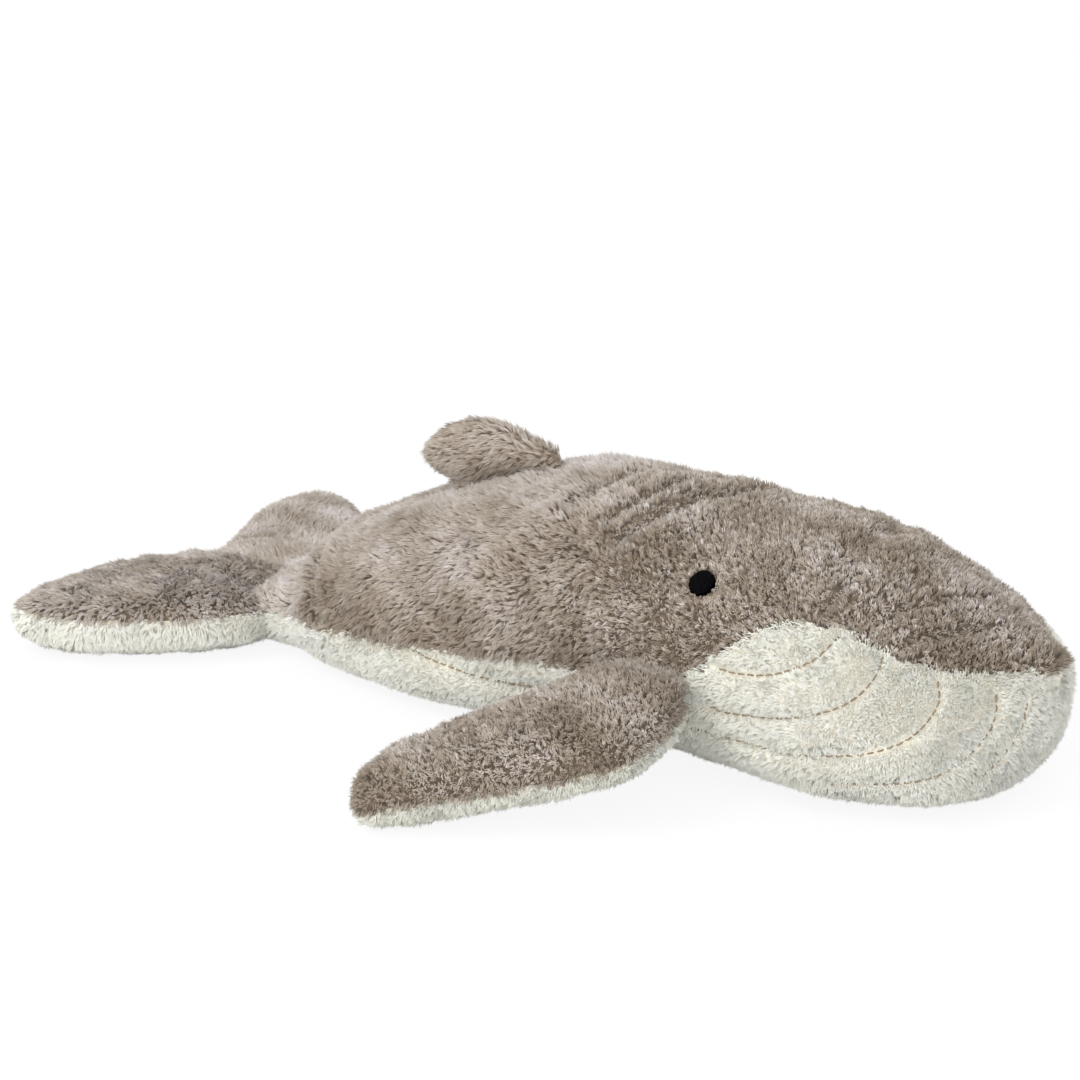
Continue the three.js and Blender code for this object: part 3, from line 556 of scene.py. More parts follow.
# Tufts of bent strands. Each strand is a closed three-sided spindle that shares its tuft's lean. Their form
# says how far they bow, how close their tips gather, how high up they are thickest, and how wide they root.
def tufts(points, normal, comb, height, lean, shade, form, strands=8, width=0.2, soft=0.5):
    count = len(points) * strands
    curl, gather, peak, spread = (np.broadcast_to(form[key], len(points))
                                  for key in ("curl", "gather", "peak", "spread"))

    def each(values):
        return np.repeat(values, strands, 0)

    c, n, d = each(points), each(normal), each(comb)
    side = np.cross(n, d)
    bow = turned(normal, comb, rng.uniform(0, TURN, len(points))) * curl[:, None]
    bow, gather, peak = each(bow), each(gather)[:, None], each(peak)[:, None]
    angle, reach = rng.uniform(0, TURN, count), each(spread) * np.sqrt(rng.random(count))
    offset = side * (np.cos(angle) * reach)[:, None] + d * (np.sin(angle) * reach)[:, None]
    tall = (each(height) * rng.uniform(*TALL_RANGE, count))[:, None]
    far = (each(lean) * rng.uniform(*LEAN_RANGE, count))[:, None]
    wander = rng.normal(0, STRAND_WANDER, (count, 3))
    root = c + offset - ROOT_DEPTH * n
    middle = (c + offset * (1 + peak * (gather - 1)) + n * tall * peak + d * far * peak**2
              + bow + wander * peak)
    tip = c + offset * gather + n * tall + d * far - TIP_RETURN * bow + wander
    tip[:, 2] = np.maximum(tip[:, 2], FLOOR_CLEARANCE)
    axis = unit(tip - root)
    first = unit(side - axis * (side * axis).sum(-1, keepdims=True))
    second = np.cross(axis, first)
    start = rng.uniform(0, TURN, count)
    thick = (width * rng.uniform(*THICK_RANGE, count))[:, None]
    ring, outwards, faces = [], [], []
    for k in range(STRAND_SIDES):
        turn = (start + TURN * k / STRAND_SIDES)[:, None]
        outwards.append(first * np.cos(turn) + second * np.sin(turn))
        ring.append(middle + outwards[-1] * thick)
        m = (k + 1) % STRAND_SIDES
        faces += [(0, 1 + m, 1 + k), (1 + k, 1 + m, STRAND_POINTS - 1)]
    facing = np.stack([-axis, *outwards, axis], 1) * (1 - soft) + n[:, None] * soft
    vertices = np.stack([root, *ring, tip], 1).reshape(-1, 3)
    vertices[:, 2] = np.maximum(vertices[:, 2], FLOOR_CLEARANCE / 2)
    faces = (np.arange(count)[:, None, None] * STRAND_POINTS + np.array(faces)).reshape(-1, 3)
    tones = np.clip(each(shade) + rng.normal(0, STRAND_TONE, count), *TONE_RANGE)
    ends = [np.full((count, 1), place) for place in (ROOT_ON_MAP, TIP_ON_MAP)]
    along = np.hstack([ends[0], np.tile(peak, STRAND_SIDES), ends[1]])
    uv = np.stack([np.repeat(tones, STRAND_POINTS), along.ravel()], -1)
    return vertices, faces, uv, unit(facing).reshape(-1, 3)


def in_scene(name, data):
    made = bpy.data.objects.new(name, data)
    bpy.context.scene.collection.objects.link(made)
    return made


def make_object(name, vertices, faces, material, uv=None, facing=None, is_smooth=True):
    mesh = bpy.data.meshes.new(name)
    faces = np.asarray(faces)
    corners = faces.shape[1]
    mesh.vertices.add(len(vertices))
    mesh.vertices.foreach_set("co", (np.asarray(vertices) * MM).astype(np.float32).ravel())
    mesh.loops.add(faces.size)
    mesh.loops.foreach_set("vertex_index", faces.astype(np.int32).ravel())
    mesh.polygons.add(len(faces))
    mesh.polygons.foreach_set("loop_start", np.arange(0, faces.size, corners, dtype=np.int32))
    mesh.polygons.foreach_set("use_smooth", np.full(len(faces), is_smooth))
    mesh.update(calc_edges=True)
    if uv is not None:
        layer = mesh.uv_layers.new(name="OFBake")
        layer.uv.foreach_set("vector", uv[faces.ravel()].astype(np.float32).ravel())
    mesh.validate()
    if facing is not None:
        mesh.normals_split_custom_set_from_vertices(facing)
    mesh.materials.append(material)
    return in_scene(name, mesh)


# Materials
SHEEN_ROUGHNESS, PILE_ROUGHNESS, PILE_GRAIN = 0.45, 0.82, 46
GRAIN_STOPS = [(0.3, (0.9, 0.9, 0.9)), (0.7, (1, 1, 1))]
DARK_STOP, PALE_STOP = 0.32, 0.68
BUMP_HEIGHT = 0.0004  # metres
CLOTH_SCALES, EYE_SCALES, STITCH_SCALES = (160, 900), (900, 2600), (700, 2600)  # of tones and of bump


def add_nodes(nodes, *kinds):
    return [nodes.new(f"ShaderNode{kind}") for kind in kinds]


def put(node, values):
    for name, value in values.items():
        node.inputs[name].default_value = value


# Links an output of one node to an input of another
def link(node, output, other, socket):
    node.id_data.links.new(node.outputs[output], other.inputs[socket])


def new_material(name, roughness, sheen, specular=0.15):
    material = bpy.data.materials.new(name)
    material.use_nodes = True
    shader = material.node_tree.nodes["Principled BSDF"]
    put(shader, {"Roughness": roughness, "Specular IOR Level": specular, "Sheen Weight": sheen,
                 "Sheen Roughness": SHEEN_ROUGHNESS})
    return material, material.node_tree.nodes, shader


def ramp(nodes, stops):
    made, = add_nodes(nodes, "ValToRGB")
    elements = made.color_ramp.elements
    elements[0].position, elements[-1].position = stops[0][0], stops[-1][0]
    for place, _ in stops[1:-1]:
        elements.new(place)
    for element, (_, colour) in zip(elements, stops):
        element.color = (*colour, 1)
    return made


# Pile: across its small map the tone of the tuft, and up the map from the strand's root to its tip
def pile_material(name, roots, tips, rise, sheen):
    material, nodes, shader = new_material(name, PILE_ROUGHNESS, sheen)
    place, split, grain, mix, vary = add_nodes(nodes, "UVMap", "SeparateXYZ", "TexNoise", "Mix", "Mix")
    place.uv_map = "OFBake"
    link(place, "UV", split, 0)
    root, tip = ramp(nodes, roots), ramp(nodes, tips)
    rising = ramp(nodes, [(rise[0], (0, 0, 0)), (rise[1], (1, 1, 1))])
    put(grain, {"Scale": PILE_GRAIN})
    link(place, "UV", grain, "Vector")
    graining = ramp(nodes, GRAIN_STOPS)
    for node in (mix, vary):
        node.data_type = "RGBA"
    vary.blend_type = "MULTIPLY"
    put(vary, {"Factor": 1})
    link(split, 0, root, 0)
    link(split, 0, tip, 0)
    link(split, 1, rising, 0)
    link(rising, 0, mix, "Factor")
    link(root, 0, mix, 6)
    link(tip, 0, mix, 7)
    link(grain, "Fac", graining, 0)
    link(mix, 2, vary, 6)
    link(graining, 0, vary, 7)
    link(vary, 2, shader, "Base Color")
    return material


# Cloth or thread: two tones mixed by noise, with a fine bump
def cloth_material(name, dark, pale, scales, roughness=0.9, sheen=0.2, specular=0.15):
    material, nodes, shader = new_material(name, roughness, sheen, specular)
    where, grain, fine, bump = add_nodes(nodes, "TexCoord", "TexNoise", "TexNoise", "Bump")
    tones = ramp(nodes, [(DARK_STOP, dark), (PALE_STOP, pale)])
    put(bump, {"Distance": BUMP_HEIGHT})
    for node, scale in zip((grain, fine), scales):
        put(node, {"Scale": scale})
        link(where, "Object", node, "Vector")
    link(grain, "Fac", tones, 0)
    link(tones, 0, shader, "Base Color")
    link(fine, "Fac", bump, "Height")
    link(bump, "Normal", shader, "Normal")
    return material


# Each pile's darker, warmer roots are partly the strands' own colour and partly painted shade deep in the
# pile
taupe_pile = pile_material(
    "taupe_pile",
    [(0.0, (0.13, 0.092, 0.06)), (1.0, (0.26, 0.2, 0.145))],
    [(0.0, (0.33, 0.265, 0.2)), (0.5, (0.55, 0.475, 0.4)), (1.0, (0.8, 0.745, 0.715))],
    rise=(0.12, 0.85), sheen=0.35)
cream_pile = pile_material(
    "cream_pile",
    [(0.0, (0.93, 0.86, 0.68)), (1.0, (0.97, 0.94, 0.82))],
    [(0.0, (0.965, 0.955, 0.84)), (0.5, (0.975, 0.97, 0.87)), (1.0, (0.98, 0.98, 0.91))],
    rise=(0.0, 0.4), sheen=0.2)
# Each cloth is darker than its pile, a painted shade in the gaps between tufts and, for the cream, in the
# pleats
taupe_cloth = cloth_material("taupe_cloth", (0.19, 0.145, 0.105), (0.29, 0.23, 0.175), CLOTH_SCALES,
                             sheen=0.3)
cream_cloth = cloth_material("cream_cloth", (0.79, 0.73, 0.6), (0.88, 0.84, 0.73), CLOTH_SCALES)
black_thread = cloth_material("black_thread", (0.0008, 0.0008, 0.001), (0.003, 0.003, 0.004), EYE_SCALES,
                              roughness=0.5, sheen=0.0, specular=0.03)
brown_thread = cloth_material("brown_thread", (0.25, 0.185, 0.12), (0.42, 0.33, 0.23), STITCH_SCALES,
                              roughness=0.8)


CROWDING = 0.35  # how much closer the sections of a cloth form stand at its ends


# The closed cloth form under a pile, taupe above its seam and cream below
def make_cloth(name, surface, is_taupe, stations, around):
    low, high = surface["shares"]
    crowded = low + (high - low) * (1 - np.cos(np.linspace(0, math.pi, stations + 1))) / 2
    shares = CROWDING * crowded + (1 - CROWDING) * np.linspace(low, high, stations + 1)
    angles = np.linspace(0, TURN, around, endpoint=False)
    grid = surface["cloth"](*np.meshgrid(shares[1:-1], angles, indexing="ij"))
    ends = surface["cloth"](np.array([low, high]), np.zeros(2))
    vertices = np.vstack([grid.reshape(-1, 3), ends])
    k = np.arange(around)
    m, last, pole = np.roll(k, -1), (stations - 2) * around, len(vertices) - 2 + 0 * k
    quads = [np.stack([i + k, i + m, i + around + m, i + around + k], -1) for i in range(0, last, around)]
    caps = [np.stack([pole, m, k], -1), np.stack([pole + 1, last + k, last + m], -1)]
    mesh = bpy.data.meshes.new(name)
    faces = np.vstack(quads).tolist() + np.vstack(caps).tolist()
    mesh.from_pydata((vertices * MM).tolist(), [], faces)
    mesh.validate()
    mesh.update()
    for material in (taupe_cloth, cream_cloth):
        mesh.materials.append(material)
    mesh.polygons.foreach_set("use_smooth", np.ones(len(mesh.polygons), bool))
    volume = sum(face.center.dot(face.normal) * face.area for face in mesh.polygons)
    if volume < 0:
        mesh.flip_normals()
    centres = np.array([tuple(face.center) for face in mesh.polygons]) / MM
    taupe = is_taupe(centres, np.array([tuple(face.normal) for face in mesh.polygons]))
    mesh.polygons.foreach_set("material_index", np.where(taupe, 0, 1).astype(np.int32))
    return in_scene(name, mesh)


def torso_share(points):
    return (points[:, 0] - rear_x - COVER_DEPTH) / (TORSO_LENGTH - COVER_DEPTH - SNOUT_INSET)


PATCH_TONE, SPECKLE_TONE, TUFT_TONE = 0.16, 0.09, 0.11


# How the pile lies: combed one way, with slow swirls and each tuft a little off
def combed(points, normal, way, wide, fine, loose):
    angle = wide * swirl_wide(points) + fine * swirl_fine(points) + rng.normal(0, 1, len(points)) * loose
    return turned(normal, tangent_to(normal, way), angle)


def tone(points, base):
    own = rng.normal(0, TUFT_TONE, len(points))
    return base + PATCH_TONE * patches(points) + SPECKLE_TONE * speckle(points) + own


# Puts tufts into pieces of a limited size, and hands each one to attach
def make_pile(name, built, material, attach):
    vertices, faces, uv, facing = built
    strands = len(vertices) // STRAND_POINTS
    pieces = max(1, math.ceil(strands / MOST_STRANDS))
    each = math.ceil(strands / pieces)
    for i in range(pieces):
        first, last = i * each, min(strands, (i + 1) * each)
        part = faces[first * STRAND_FACES:last * STRAND_FACES] - first * STRAND_POINTS
        own = slice(first * STRAND_POINTS, last * STRAND_POINTS)
        piece = make_object(f"{name}_{i + 1}", vertices[own], part, material, uv[own], facing[own])
        attach(piece)


def inside_torso(points, grow):
    share = np.clip(torso_share(points), 0.0, 1.0)
    half_width, up, down, widest, above, below = torso_section(share)
    over = points[:, 2] >= widest
    high = np.where(over, up, down) + grow
    squareness = np.where(over, above, below)
    reach = (np.abs(points[:, 1]) / (half_width + grow)) ** squareness
    reach += (np.abs(points[:, 2] - widest) / high) ** squareness
    ends = (points[:, 0] > rear_x) & (points[:, 0] < rear_x + TORSO_LENGTH)
    return (reach < 1) & ends


PILE_SPACING = 1.37
CREAM_FORM = {"curl": 0.3, "gather": 0.9, "peak": 0.72, "spread": 1.1}
LONG_FORM = {"curl": 0.0, "gather": 0.52, "peak": 0.58, "spread": 1.05}
CURLY_FORM = {"curl": 0.6, "gather": 0.55, "peak": 0.74, "spread": 1.3}
# Material, slot, form of the tufts, strands in each, their width, and how softly they shade
PILES = {
    "taupe": (taupe_pile, "taupe_plush", None, 8, 0.2, 0.5),
    "cream": (cream_pile, "cream_plush", CREAM_FORM, 10, 0.17, 0.88),
}
UNEVEN, SWIRLED, PAINTED_TOP_LIGHT = 0.35, 0.3, 0.12  # of the fins' piles; the last is a painted top light on pile that faces up

# Where the torso's pile changes, from and to: shares of its length, heights and distances
HEAD, REAR, LOW_FLANK, CREST_SIDE, CREST_END = (0.4, 0.56), (0.1, 0.0), (72, 34), (30, 12), (0.47, 0.4)
NEAR_EYE, NEAR_PLEAT, EYE_CLEAR, PLEAT_CLEAR = (12, 6), (4.5, 1.2), 1.1, 0.75
PRESSED_BELOW, PRESSED_SHARE = 4.6, 0.45  # under the belly, where fewer tufts stand
FLANK_WAY, LOW_WAY, BELLY_WAY = np.array([[-0.9, 0, -0.4], [-0.35, 0, -1.0], [-0.5, 0, -0.8]])
FLANK_GRAIN, BELLY_GRAIN, HEAD_LOOSE, HEAD_MOTTLE = (0.5, 0.45, 0.5), (0.9, 0.9, 0.7), 0.9, 0.16
# What each region adds to the lean, the tone and the form of the tufts
BACK_LEAN = {"all": 2.3, "head": -1.5, "rear": 1.6, "swirl": 0.5}
# In the tone, the head and low terms darken the pile for painted shade, and the crest term lightens the
# ridge for painted top light
BACK_TONE_AND_PAINTED_LIGHT = {"all": 0.55, "head": -0.18, "low": -0.2, "rear": 0.08, "crest": 0.1}
BACK_FORM = {"curl": {"head": 0.6}, "gather": {"all": 0.56, "head": -0.03},
             "peak": {"all": 0.58, "head": 0.17}, "spread": {"all": 1.03, "head": 0.2}}
BELLY_LEAN = {"all": 1.1, "swirl": 0.4, "pleat": 0.5}
# How tall the tufts stand, how unevenly, and how much shorter by an eye or a pleat
BACK_HEIGHT, BACK_UNEVEN, BY_EYE = 4.0, 0.4, 0.45
BELLY_HEIGHT, BELLY_UNEVEN, BY_PLEAT = 3.8, 0.2, 2.2
BELLY_TONE, PARTING = 0.6, 0.9


def added(table, regions):
    return sum(amount * regions[name] for name, amount in table.items())


def ride_body(piece):
    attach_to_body(piece, "body")


def dress_torso():
    cloth = make_cloth("torso_cloth", torso, torso_is_back, *TORSO_MESH)
    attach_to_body(cloth, "body")
    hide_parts("back_panel_left", "back_panel_right", "belly_panel", "torso_stuffing")

    share, points, normal = scatter(torso, PILE_SPACING)
    to_eye, from_eye = nearest_mirrored(points, eye_spot)
    to_pleat, from_pleat = nearest_mirrored(points, pleat_points)
    is_back = torso_is_back(points, normal)
    under = (points[:, 2] < PRESSED_BELOW) & (rng.random(len(points)) < PRESSED_SHARE)
    clear = (to_eye > EYE_RADIUS + EYE_CLEAR) & ~((to_pleat < PLEAT_CLEAR) & ~is_back) & ~under
    for side_name, side in SIDES.items():
        chosen = clear & is_back & (points[:, 1] * side > 0)
        p, n, s = points[chosen], normal[chosen], share[chosen]
        head = smooth(s, *HEAD)
        rear = smooth(s, *REAR)
        low = smooth(p[:, 2], *LOW_FLANK) * (1 - rear)
        crest = smooth(np.abs(p[:, 1]), *CREST_SIDE) * smooth(s, *CREST_END)
        regions = {"all": 1, "head": head, "rear": rear, "low": low, "crest": crest, "swirl": swirl_wide(p)}
        way = FLANK_WAY * (1 - low[:, None]) + LOW_WAY * low[:, None]
        comb = combed(p, n, way, *FLANK_GRAIN)
        comb = turned(n, comb, head * rng.normal(0, 1, len(p)) * HEAD_LOOSE)
        near_eye = smooth(to_eye[chosen], *NEAR_EYE)[:, None]
        comb = tangent_to(n, comb * (1 - near_eye) - unit(from_eye[chosen]) * near_eye)
        height = BACK_HEIGHT + BACK_UNEVEN * rng.normal(0, 1, len(p)) + BACK_UNEVEN * swirl_fine(p)
        height *= 1 - BY_EYE * near_eye[:, 0]
        mottle = head * rng.normal(0, HEAD_MOTTLE, len(p))
        # A random mottle on the head, then the tone, with painted shade on the head and lower flank and
        # painted top light on the crest
        shade = mottle + tone(p, added(BACK_TONE_AND_PAINTED_LIGHT, regions))
        form = {key: added(table, regions) for key, table in BACK_FORM.items()}
        built = tufts(p, n, comb, height, added(BACK_LEAN, regions), shade, form)
        make_pile(f"pile_back_{side_name}", built, taupe_pile, ride_body)

    chosen = clear & ~is_back
    p, n = points[chosen], normal[chosen]
    near = smooth(to_pleat[chosen], *NEAR_PLEAT)[:, None]
    comb = combed(p, n, BELLY_WAY, *BELLY_GRAIN)
    comb = tangent_to(n, comb * (1 - near) + unit(-from_pleat[chosen]) * near * PARTING)
    height = BELLY_HEIGHT + BELLY_UNEVEN * rng.normal(0, 1, len(p)) - BY_PLEAT * near[:, 0]
    lean = added(BELLY_LEAN, {"all": 1, "swirl": swirl_wide(p), "pleat": near[:, 0]})
    built = tufts(p, n, comb, height, lean, tone(p, BELLY_TONE), CREAM_FORM,
                  strands=10, width=0.16, soft=0.92)
    make_pile("pile_belly", built, cream_pile, ride_body)


# A fin's cloth and its two piles
def dress_fin(name, surface, way, is_taupe, attach, replaced, height, lean, grain, form=LONG_FORM,
              base=0.45, buried=5.5):
    cloth = make_cloth(f"{name}_cloth", surface, is_taupe, *FIN_MESH)
    attach(cloth)
    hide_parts(*replaced)
    _, points, normal = scatter(surface, PILE_SPACING, *FIN_TRIES)
    shown = ~inside_torso(points, -buried)
    taupe = is_taupe(points, normal)
    for label, chosen in (("taupe", shown & taupe), ("cream", shown & ~taupe)):
        p, n = points[chosen], normal[chosen]
        if not len(p):
            continue
        comb = combed(p, n, way, *grain)
        tall = height + UNEVEN * rng.normal(0, 1, len(p)) + UNEVEN * swirl_fine(p)
        reach = lean + SWIRLED * swirl_wide(p)
        material, slot_name, own_form, strands, width, soft = PILES[label]
        # Pile that faces up is lightened: a painted top light
        shade = tone(p, base + PAINTED_TOP_LIGHT * n[:, 2])
        built = tufts(p, n, comb, tall, reach, shade, own_form or form, strands, width, soft)
        make_pile(f"pile_{name}_{label}", built, material, attach)


def blended():
    return lambda piece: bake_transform(piece)


def parts_of(name):
    return [f"{name}_top", f"{name}_bottom", f"{name}_stuffing"]


def dress_fins():
    def above_seam(points, normals):
        return points[:, 2] > HINGE_HEIGHT + FLUKE_SEAM_RISE

    bend = blended()
    dress_fin("tail", tail(), -X, above_seam, bend, parts_of("tail"),
              height=3.3, lean=2.6, grain=(0.3, 0.3, 0.3))
    for side_name, side in SIDES.items():
        root = hinge + np.array([-TAIL_BEND, side * FLUKE_ROOT_Y, 0])
        name = f"fluke_{side_name}"
        out = side * Y
        bend = blended()
        dress_fin(name, fluke(side_name), np.array([0.1, side * 0.5, -1.0]), above_seam, bend,
                  parts_of(name), height=3.4, lean=3.2, grain=(0.4, 0.4, 0.35), base=FLUKE_LIT_TONES[side_name])
        root = mirrored(pectoral_root, side)
        out, up = pectoral_ways(side)
        name = f"pectoral_{side_name}"
        bend = blended()
        dress_fin(name, pectoral(side), np.array([-0.7, side * 0.6, -0.3]),
                  lambda points, normals, root=root, up=up: (points - root) @ up > 0, bend, parts_of(name),
                  height=3.4, lean=1.2, grain=(0.6, 0.7, 0.7), form=CURLY_FORM, base=0.26)
    bend = blended()
    dress_fin("dorsal", dorsal(), np.array([-1.0, 0, -0.35]),
              lambda points, normals: np.full(len(points), True), bend,
              ["dorsal_left", "dorsal_right", "dorsal_stuffing"],
              height=3.0, lean=3.2, grain=(0.35, 0.3, 0.25), base=0.4, buried=1.5)


# Triangles over rings of points and the two points that close them
def ring_faces(rings, around):
    faces, start, end = [], rings * around, rings * around + 1
    for k in range(around):
        m = (k + 1) % around
        for i in range(rings - 1):
            a, b = i * around, (i + 1) * around
            faces += [(a + k, a + m, b + m), (a + k, b + m, b + k)]
        faces += [(start, m, k), (end, start - around + k, start - around + m)]
    return np.array(faces)


THREAD_AROUND, THREAD_BLUNTNESS, THREAD_END = 6, 6, 0.12
ASKEW = np.array([0.21, 0.35, 0.91])  # a way in which no thread runs


# A round thread along a line of points, closed at both ends, as vertices and triangles
def thread(points, radius):
    way = unit(np.gradient(points, axis=0))
    first = unit(np.cross(way, ASKEW))
    second = np.cross(way, first)
    share = np.linspace(-1, 1, len(points))
    radii = radius * np.sqrt(np.clip(1 - np.abs(share) ** THREAD_BLUNTNESS, THREAD_END, 1))
    angles = np.arange(THREAD_AROUND) * TURN / THREAD_AROUND
    ring = first[:, None] * np.cos(angles)[:, None] + second[:, None] * np.sin(angles)[:, None]
    tube = points[:, None] + ring * radii[:, None, None]
    vertices = np.vstack([tube.reshape(-1, 3), points[0], points[-1]])
    return vertices, ring_faces(len(points), THREAD_AROUND)


# Several meshes as one
def joined(parts):
    vertices, faces, total = [], [], 0
    for some, these in parts:
        vertices.append(some)
        faces.append(these + total)
        total += len(some)
    return np.vstack(vertices), np.vstack(faces)


STITCH_LENGTH, STITCH_GAP, STITCH_RADIUS, STITCH_LIFT = 3.0, 0.8, 0.34, 1.55
FIRST_STITCH, STITCH_POINTS, STITCH_DIP = 0.6, 6, 0.9


# Topstitching: short stitches in a row, pressed into the pile, each dipping at its ends
def dress_pleats():
    for side_name, side in SIDES.items():
        for number, pleat in enumerate(PLEATS, 1):
            share, angle = pleat_run(pleat, STITCH_STEPS)
            angle = angle if side > 0 else math.pi - angle
            normal = normals_of(torso, share, angle)
            line = torso_cloth(share, angle) + STITCH_LIFT * normal
            length = np.concatenate([[0], np.cumsum(np.linalg.norm(np.diff(line, axis=0), axis=1))])
            dip = STITCH_DIP * np.abs(np.linspace(-1, 1, STITCH_POINTS)) ** 3
            parts = []
            for begin in np.arange(FIRST_STITCH, length[-1] - STITCH_LENGTH, STITCH_LENGTH + STITCH_GAP):
                at = begin + np.linspace(0, STITCH_LENGTH, STITCH_POINTS)
                place, out = [np.stack([np.interp(at, length, rows[:, k]) for k in range(3)], -1)
                              for rows in (line, normal)]
                parts.append(thread(place - out * dip[:, None], STITCH_RADIUS))
            vertices, faces = joined(parts)
            piece = make_object(f"pleat_thread_{side_name}_{number}", vertices, faces, brown_thread)
            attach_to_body(piece, "body")
            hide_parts(f"pleat_stitch_{side_name}_{number}")


# The padded disc under the satin stitch, in rings of [share of the radius, height]
EYE_AROUND, EYE_TOP, EYE_ROOT = 40, 0.8, -4.6
EYE_RINGS = [(1.0, EYE_ROOT), (1.0, -0.6), (0.93, 0.0), (0.6, 0.55), (0.25, 0.75)]
# Satin stitch: the turn and lift of each layer, then its rows
SATIN_LAYERS = [(0.3, 0.15), (1.75, 0.4)]
SATIN_ROWS, SATIN_SPAN, SATIN_POINTS, SATIN_RADIUS = 19, 0.94, 9, 0.33
SATIN_REACH, SATIN_OVER, SATIN_UNEVEN = (1.0, 1.07), 0.15, 0.05
SATIN_DOME, SATIN_LOWEST, SATIN_DIP, SATIN_SHARPNESS = 0.85, -0.8, 0.9, 8


# Eyes: satin stitch in two layers over a padded disc
def dress_eyes():
    share = np.array([EYE_ALONG])
    angle = torso_angle(share, TORSO_HEIGHT * EYE_HEIGHT)
    outer = {"cloth": lambda s, a: torso_shape(s, a, 0), "core": torso_core}
    normal = normals_of(outer, share, angle)[0]
    for side_name, side in SIDES.items():
        n = mirrored(normal, side)
        first = unit(np.cross(n, Z))
        second = np.cross(n, first)
        centre = mirrored(eye_spot[0], side) - EYE_SINK * n
        at = placed(centre, first, EYE_TALL * second, n)
        turns = np.arange(EYE_AROUND) * TURN / EYE_AROUND
        u, v = EYE_RADIUS * np.cos(turns), EYE_RADIUS * np.sin(turns)
        disc = [at(r * u, r * v, np.full(EYE_AROUND, h)) for r, h in EYE_RINGS]
        vertices = np.vstack([*disc, centre + EYE_ROOT * n, centre + EYE_TOP * n])
        parts = [(vertices, ring_faces(len(EYE_RINGS), EYE_AROUND))]
        for tilt, lift in SATIN_LAYERS:
            c, s = math.cos(tilt), math.sin(tilt)
            for row in np.linspace(-SATIN_SPAN, SATIN_SPAN, SATIN_ROWS):
                half = EYE_RADIUS * math.sqrt(1 - row**2) * rng.uniform(*SATIN_REACH) + SATIN_OVER
                t = np.linspace(-1, 1, SATIN_POINTS)
                u, v = half * t, row * EYE_RADIUS + rng.normal(0, SATIN_UNEVEN) + 0 * t
                dome = SATIN_DOME * (1 - (np.hypot(u, v) / EYE_RADIUS) ** 2)
                up = np.maximum(dome, SATIN_LOWEST) + lift - SATIN_DIP * np.abs(t) ** SATIN_SHARPNESS
                parts.append(thread(at(u * c - v * s, u * s + v * c, up), SATIN_RADIUS))
        vertices, faces = joined(parts)
        piece = make_object(f"eye_{side_name}_thread", vertices, faces, black_thread)
        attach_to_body(piece, "body")
        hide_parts(f"eye_{side_name}")


# Camera, floor and light, in metres
SENSOR_WIDTH, LENS, CLIP_END = 36.0, 90.098, 20
AZIMUTH, ELEVATION = math.radians(34), math.radians(18)
CAMERA_PLACE = (rear_x * MM + 0.689764, -0.859027, 0.393222)
FLOOR_SIZE, FLOOR_COLOUR, FLOOR_SHARE, FLOOR_FADE = 8.0, (0.93, 0.93, 0.93, 1), 0.9, (0.35, 1.1)
WORLD_LIGHT, LAMP_TARGET = 0.77, (0, 0, 0.04)
LAMPS = [  # place, size, energy
    ("key", (-0.9, -1.3, 1.9), 1.1, 24),
    ("fill", (1.1, -1.7, 0.7), 1.6, 14),
    ("low", (-0.5, -2.1, 0.25), 1.2, 9),
    ("far", (0.1, 1.8, 1.1), 1.8, 16),
]


# Puts a camera or a lamp into the scene, looking one way
def aim(name, data, place, way):
    made = in_scene(name, data)
    made.location = place
    made.rotation_mode = "QUATERNION"
    made.rotation_quaternion = way.to_track_quat("-Z", "Y")
    return made


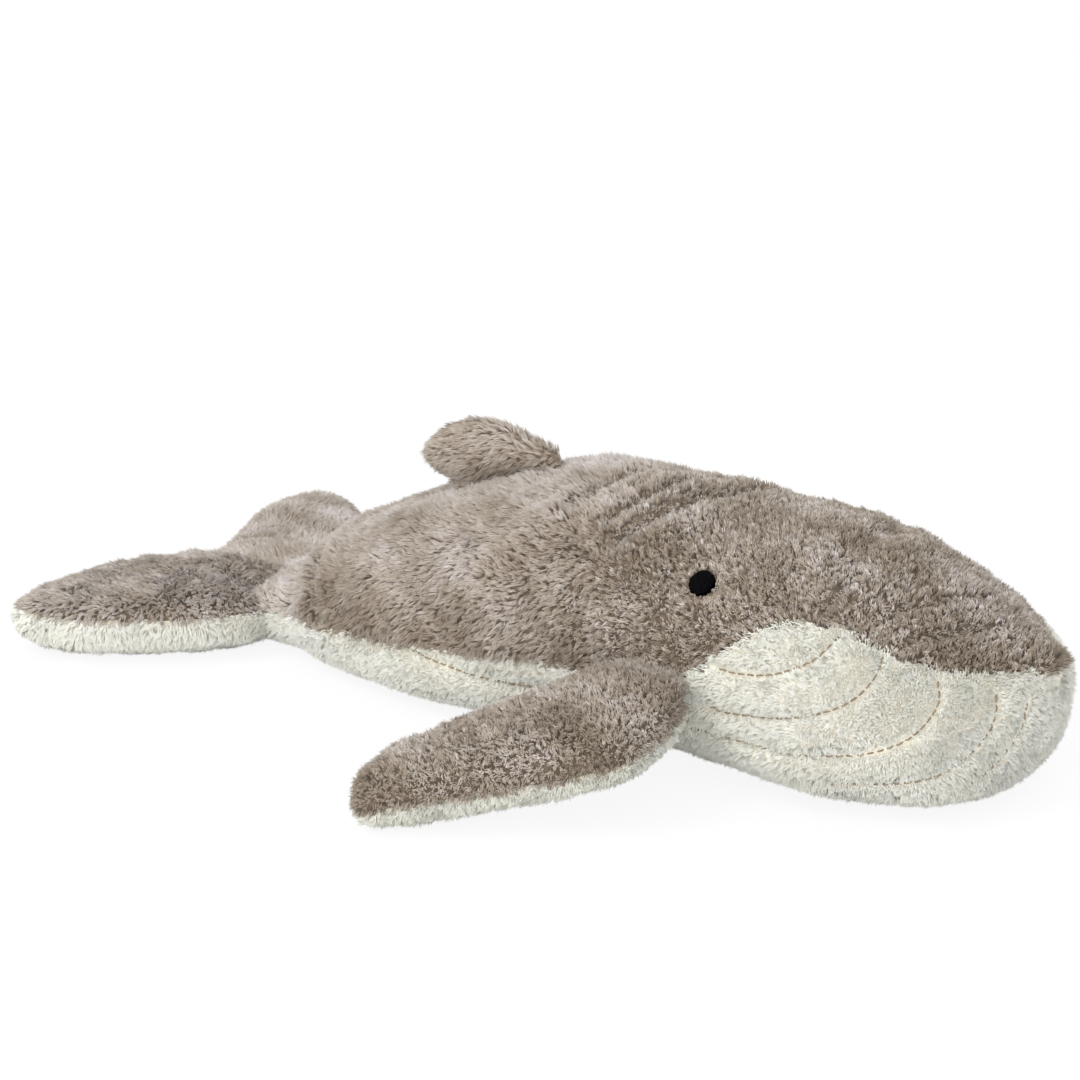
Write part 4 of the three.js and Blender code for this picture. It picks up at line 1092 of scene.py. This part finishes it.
def add_camera():
    data = bpy.data.cameras.new("camera")
    data.sensor_width, data.lens = SENSOR_WIDTH, LENS
    data.clip_end = CLIP_END
    level = math.cos(ELEVATION)
    back = Vector((math.sin(AZIMUTH) * level, -math.cos(AZIMUTH) * level, math.sin(ELEVATION)))
    bpy.context.scene.camera = aim("camera", data, CAMERA_PLACE, -back)


def add_floor():
    material, nodes, shader = new_material("floor", roughness=1, sheen=0, specular=0)
    put(shader, {"Base Color": FLOOR_COLOUR})
    white, sight, share = add_nodes(nodes, "Emission", "LightPath", "Math")
    where, far, fading, mix = add_nodes(nodes, "TexCoord", "VectorMath", "MapRange", "MixShader")
    far.operation, share.operation = "LENGTH", "MULTIPLY"
    put(fading, {"From Min": FLOOR_FADE[0], "From Max": FLOOR_FADE[1], "To Min": FLOOR_SHARE})
    link(where, "Object", far, 0)
    link(far, "Value", fading, "Value")
    link(sight, "Is Camera Ray", share, 0)
    link(fading, 0, share, 1)
    link(share, 0, mix, 0)
    link(shader, 0, mix, 1)
    link(white, 0, mix, 2)
    link(mix, 0, nodes["Material Output"], "Surface")
    corners = np.array([[-1, -1, 0], [1, -1, 0], [1, 1, 0], [-1, 1, 0]]) * FLOOR_SIZE / MM
    make_object("floor", corners, [[0, 1, 2, 3]], material, is_smooth=False)


def add_lamps():
    for name, place, size, energy in LAMPS:
        data = bpy.data.lights.new(name, "AREA")
        data.shape, data.size, data.energy = "DISK", size, energy
        aim(name, data, place, Vector(LAMP_TARGET) - Vector(place))


def add_world():
    world = bpy.data.worlds.new("studio")
    bpy.context.scene.world = world
    world.use_nodes = True
    nodes = world.node_tree.nodes
    sight, seen, total, strength = add_nodes(nodes, "LightPath", "Math", "Math", "MapRange")
    seen.operation = total.operation = "MAXIMUM"
    link(sight, "Is Camera Ray", seen, 0)
    link(sight, "Is Glossy Ray", seen, 1)
    link(seen, 0, total, 0)
    link(sight, "Is Transmission Ray", total, 1)
    link(total, 0, strength, "Value")
    put(strength, {"To Min": WORLD_LIGHT, "To Max": 1.0})
    put(nodes["Background"], {"Color": (1, 1, 1, 1)})
    link(strength, 0, nodes["Background"], "Strength")


add_camera()
dress_torso()
dress_fins()
dress_pleats()
dress_eyes()
add_floor()
add_world()
add_lamps()
bpy.context.scene.view_settings.view_transform = "Standard"
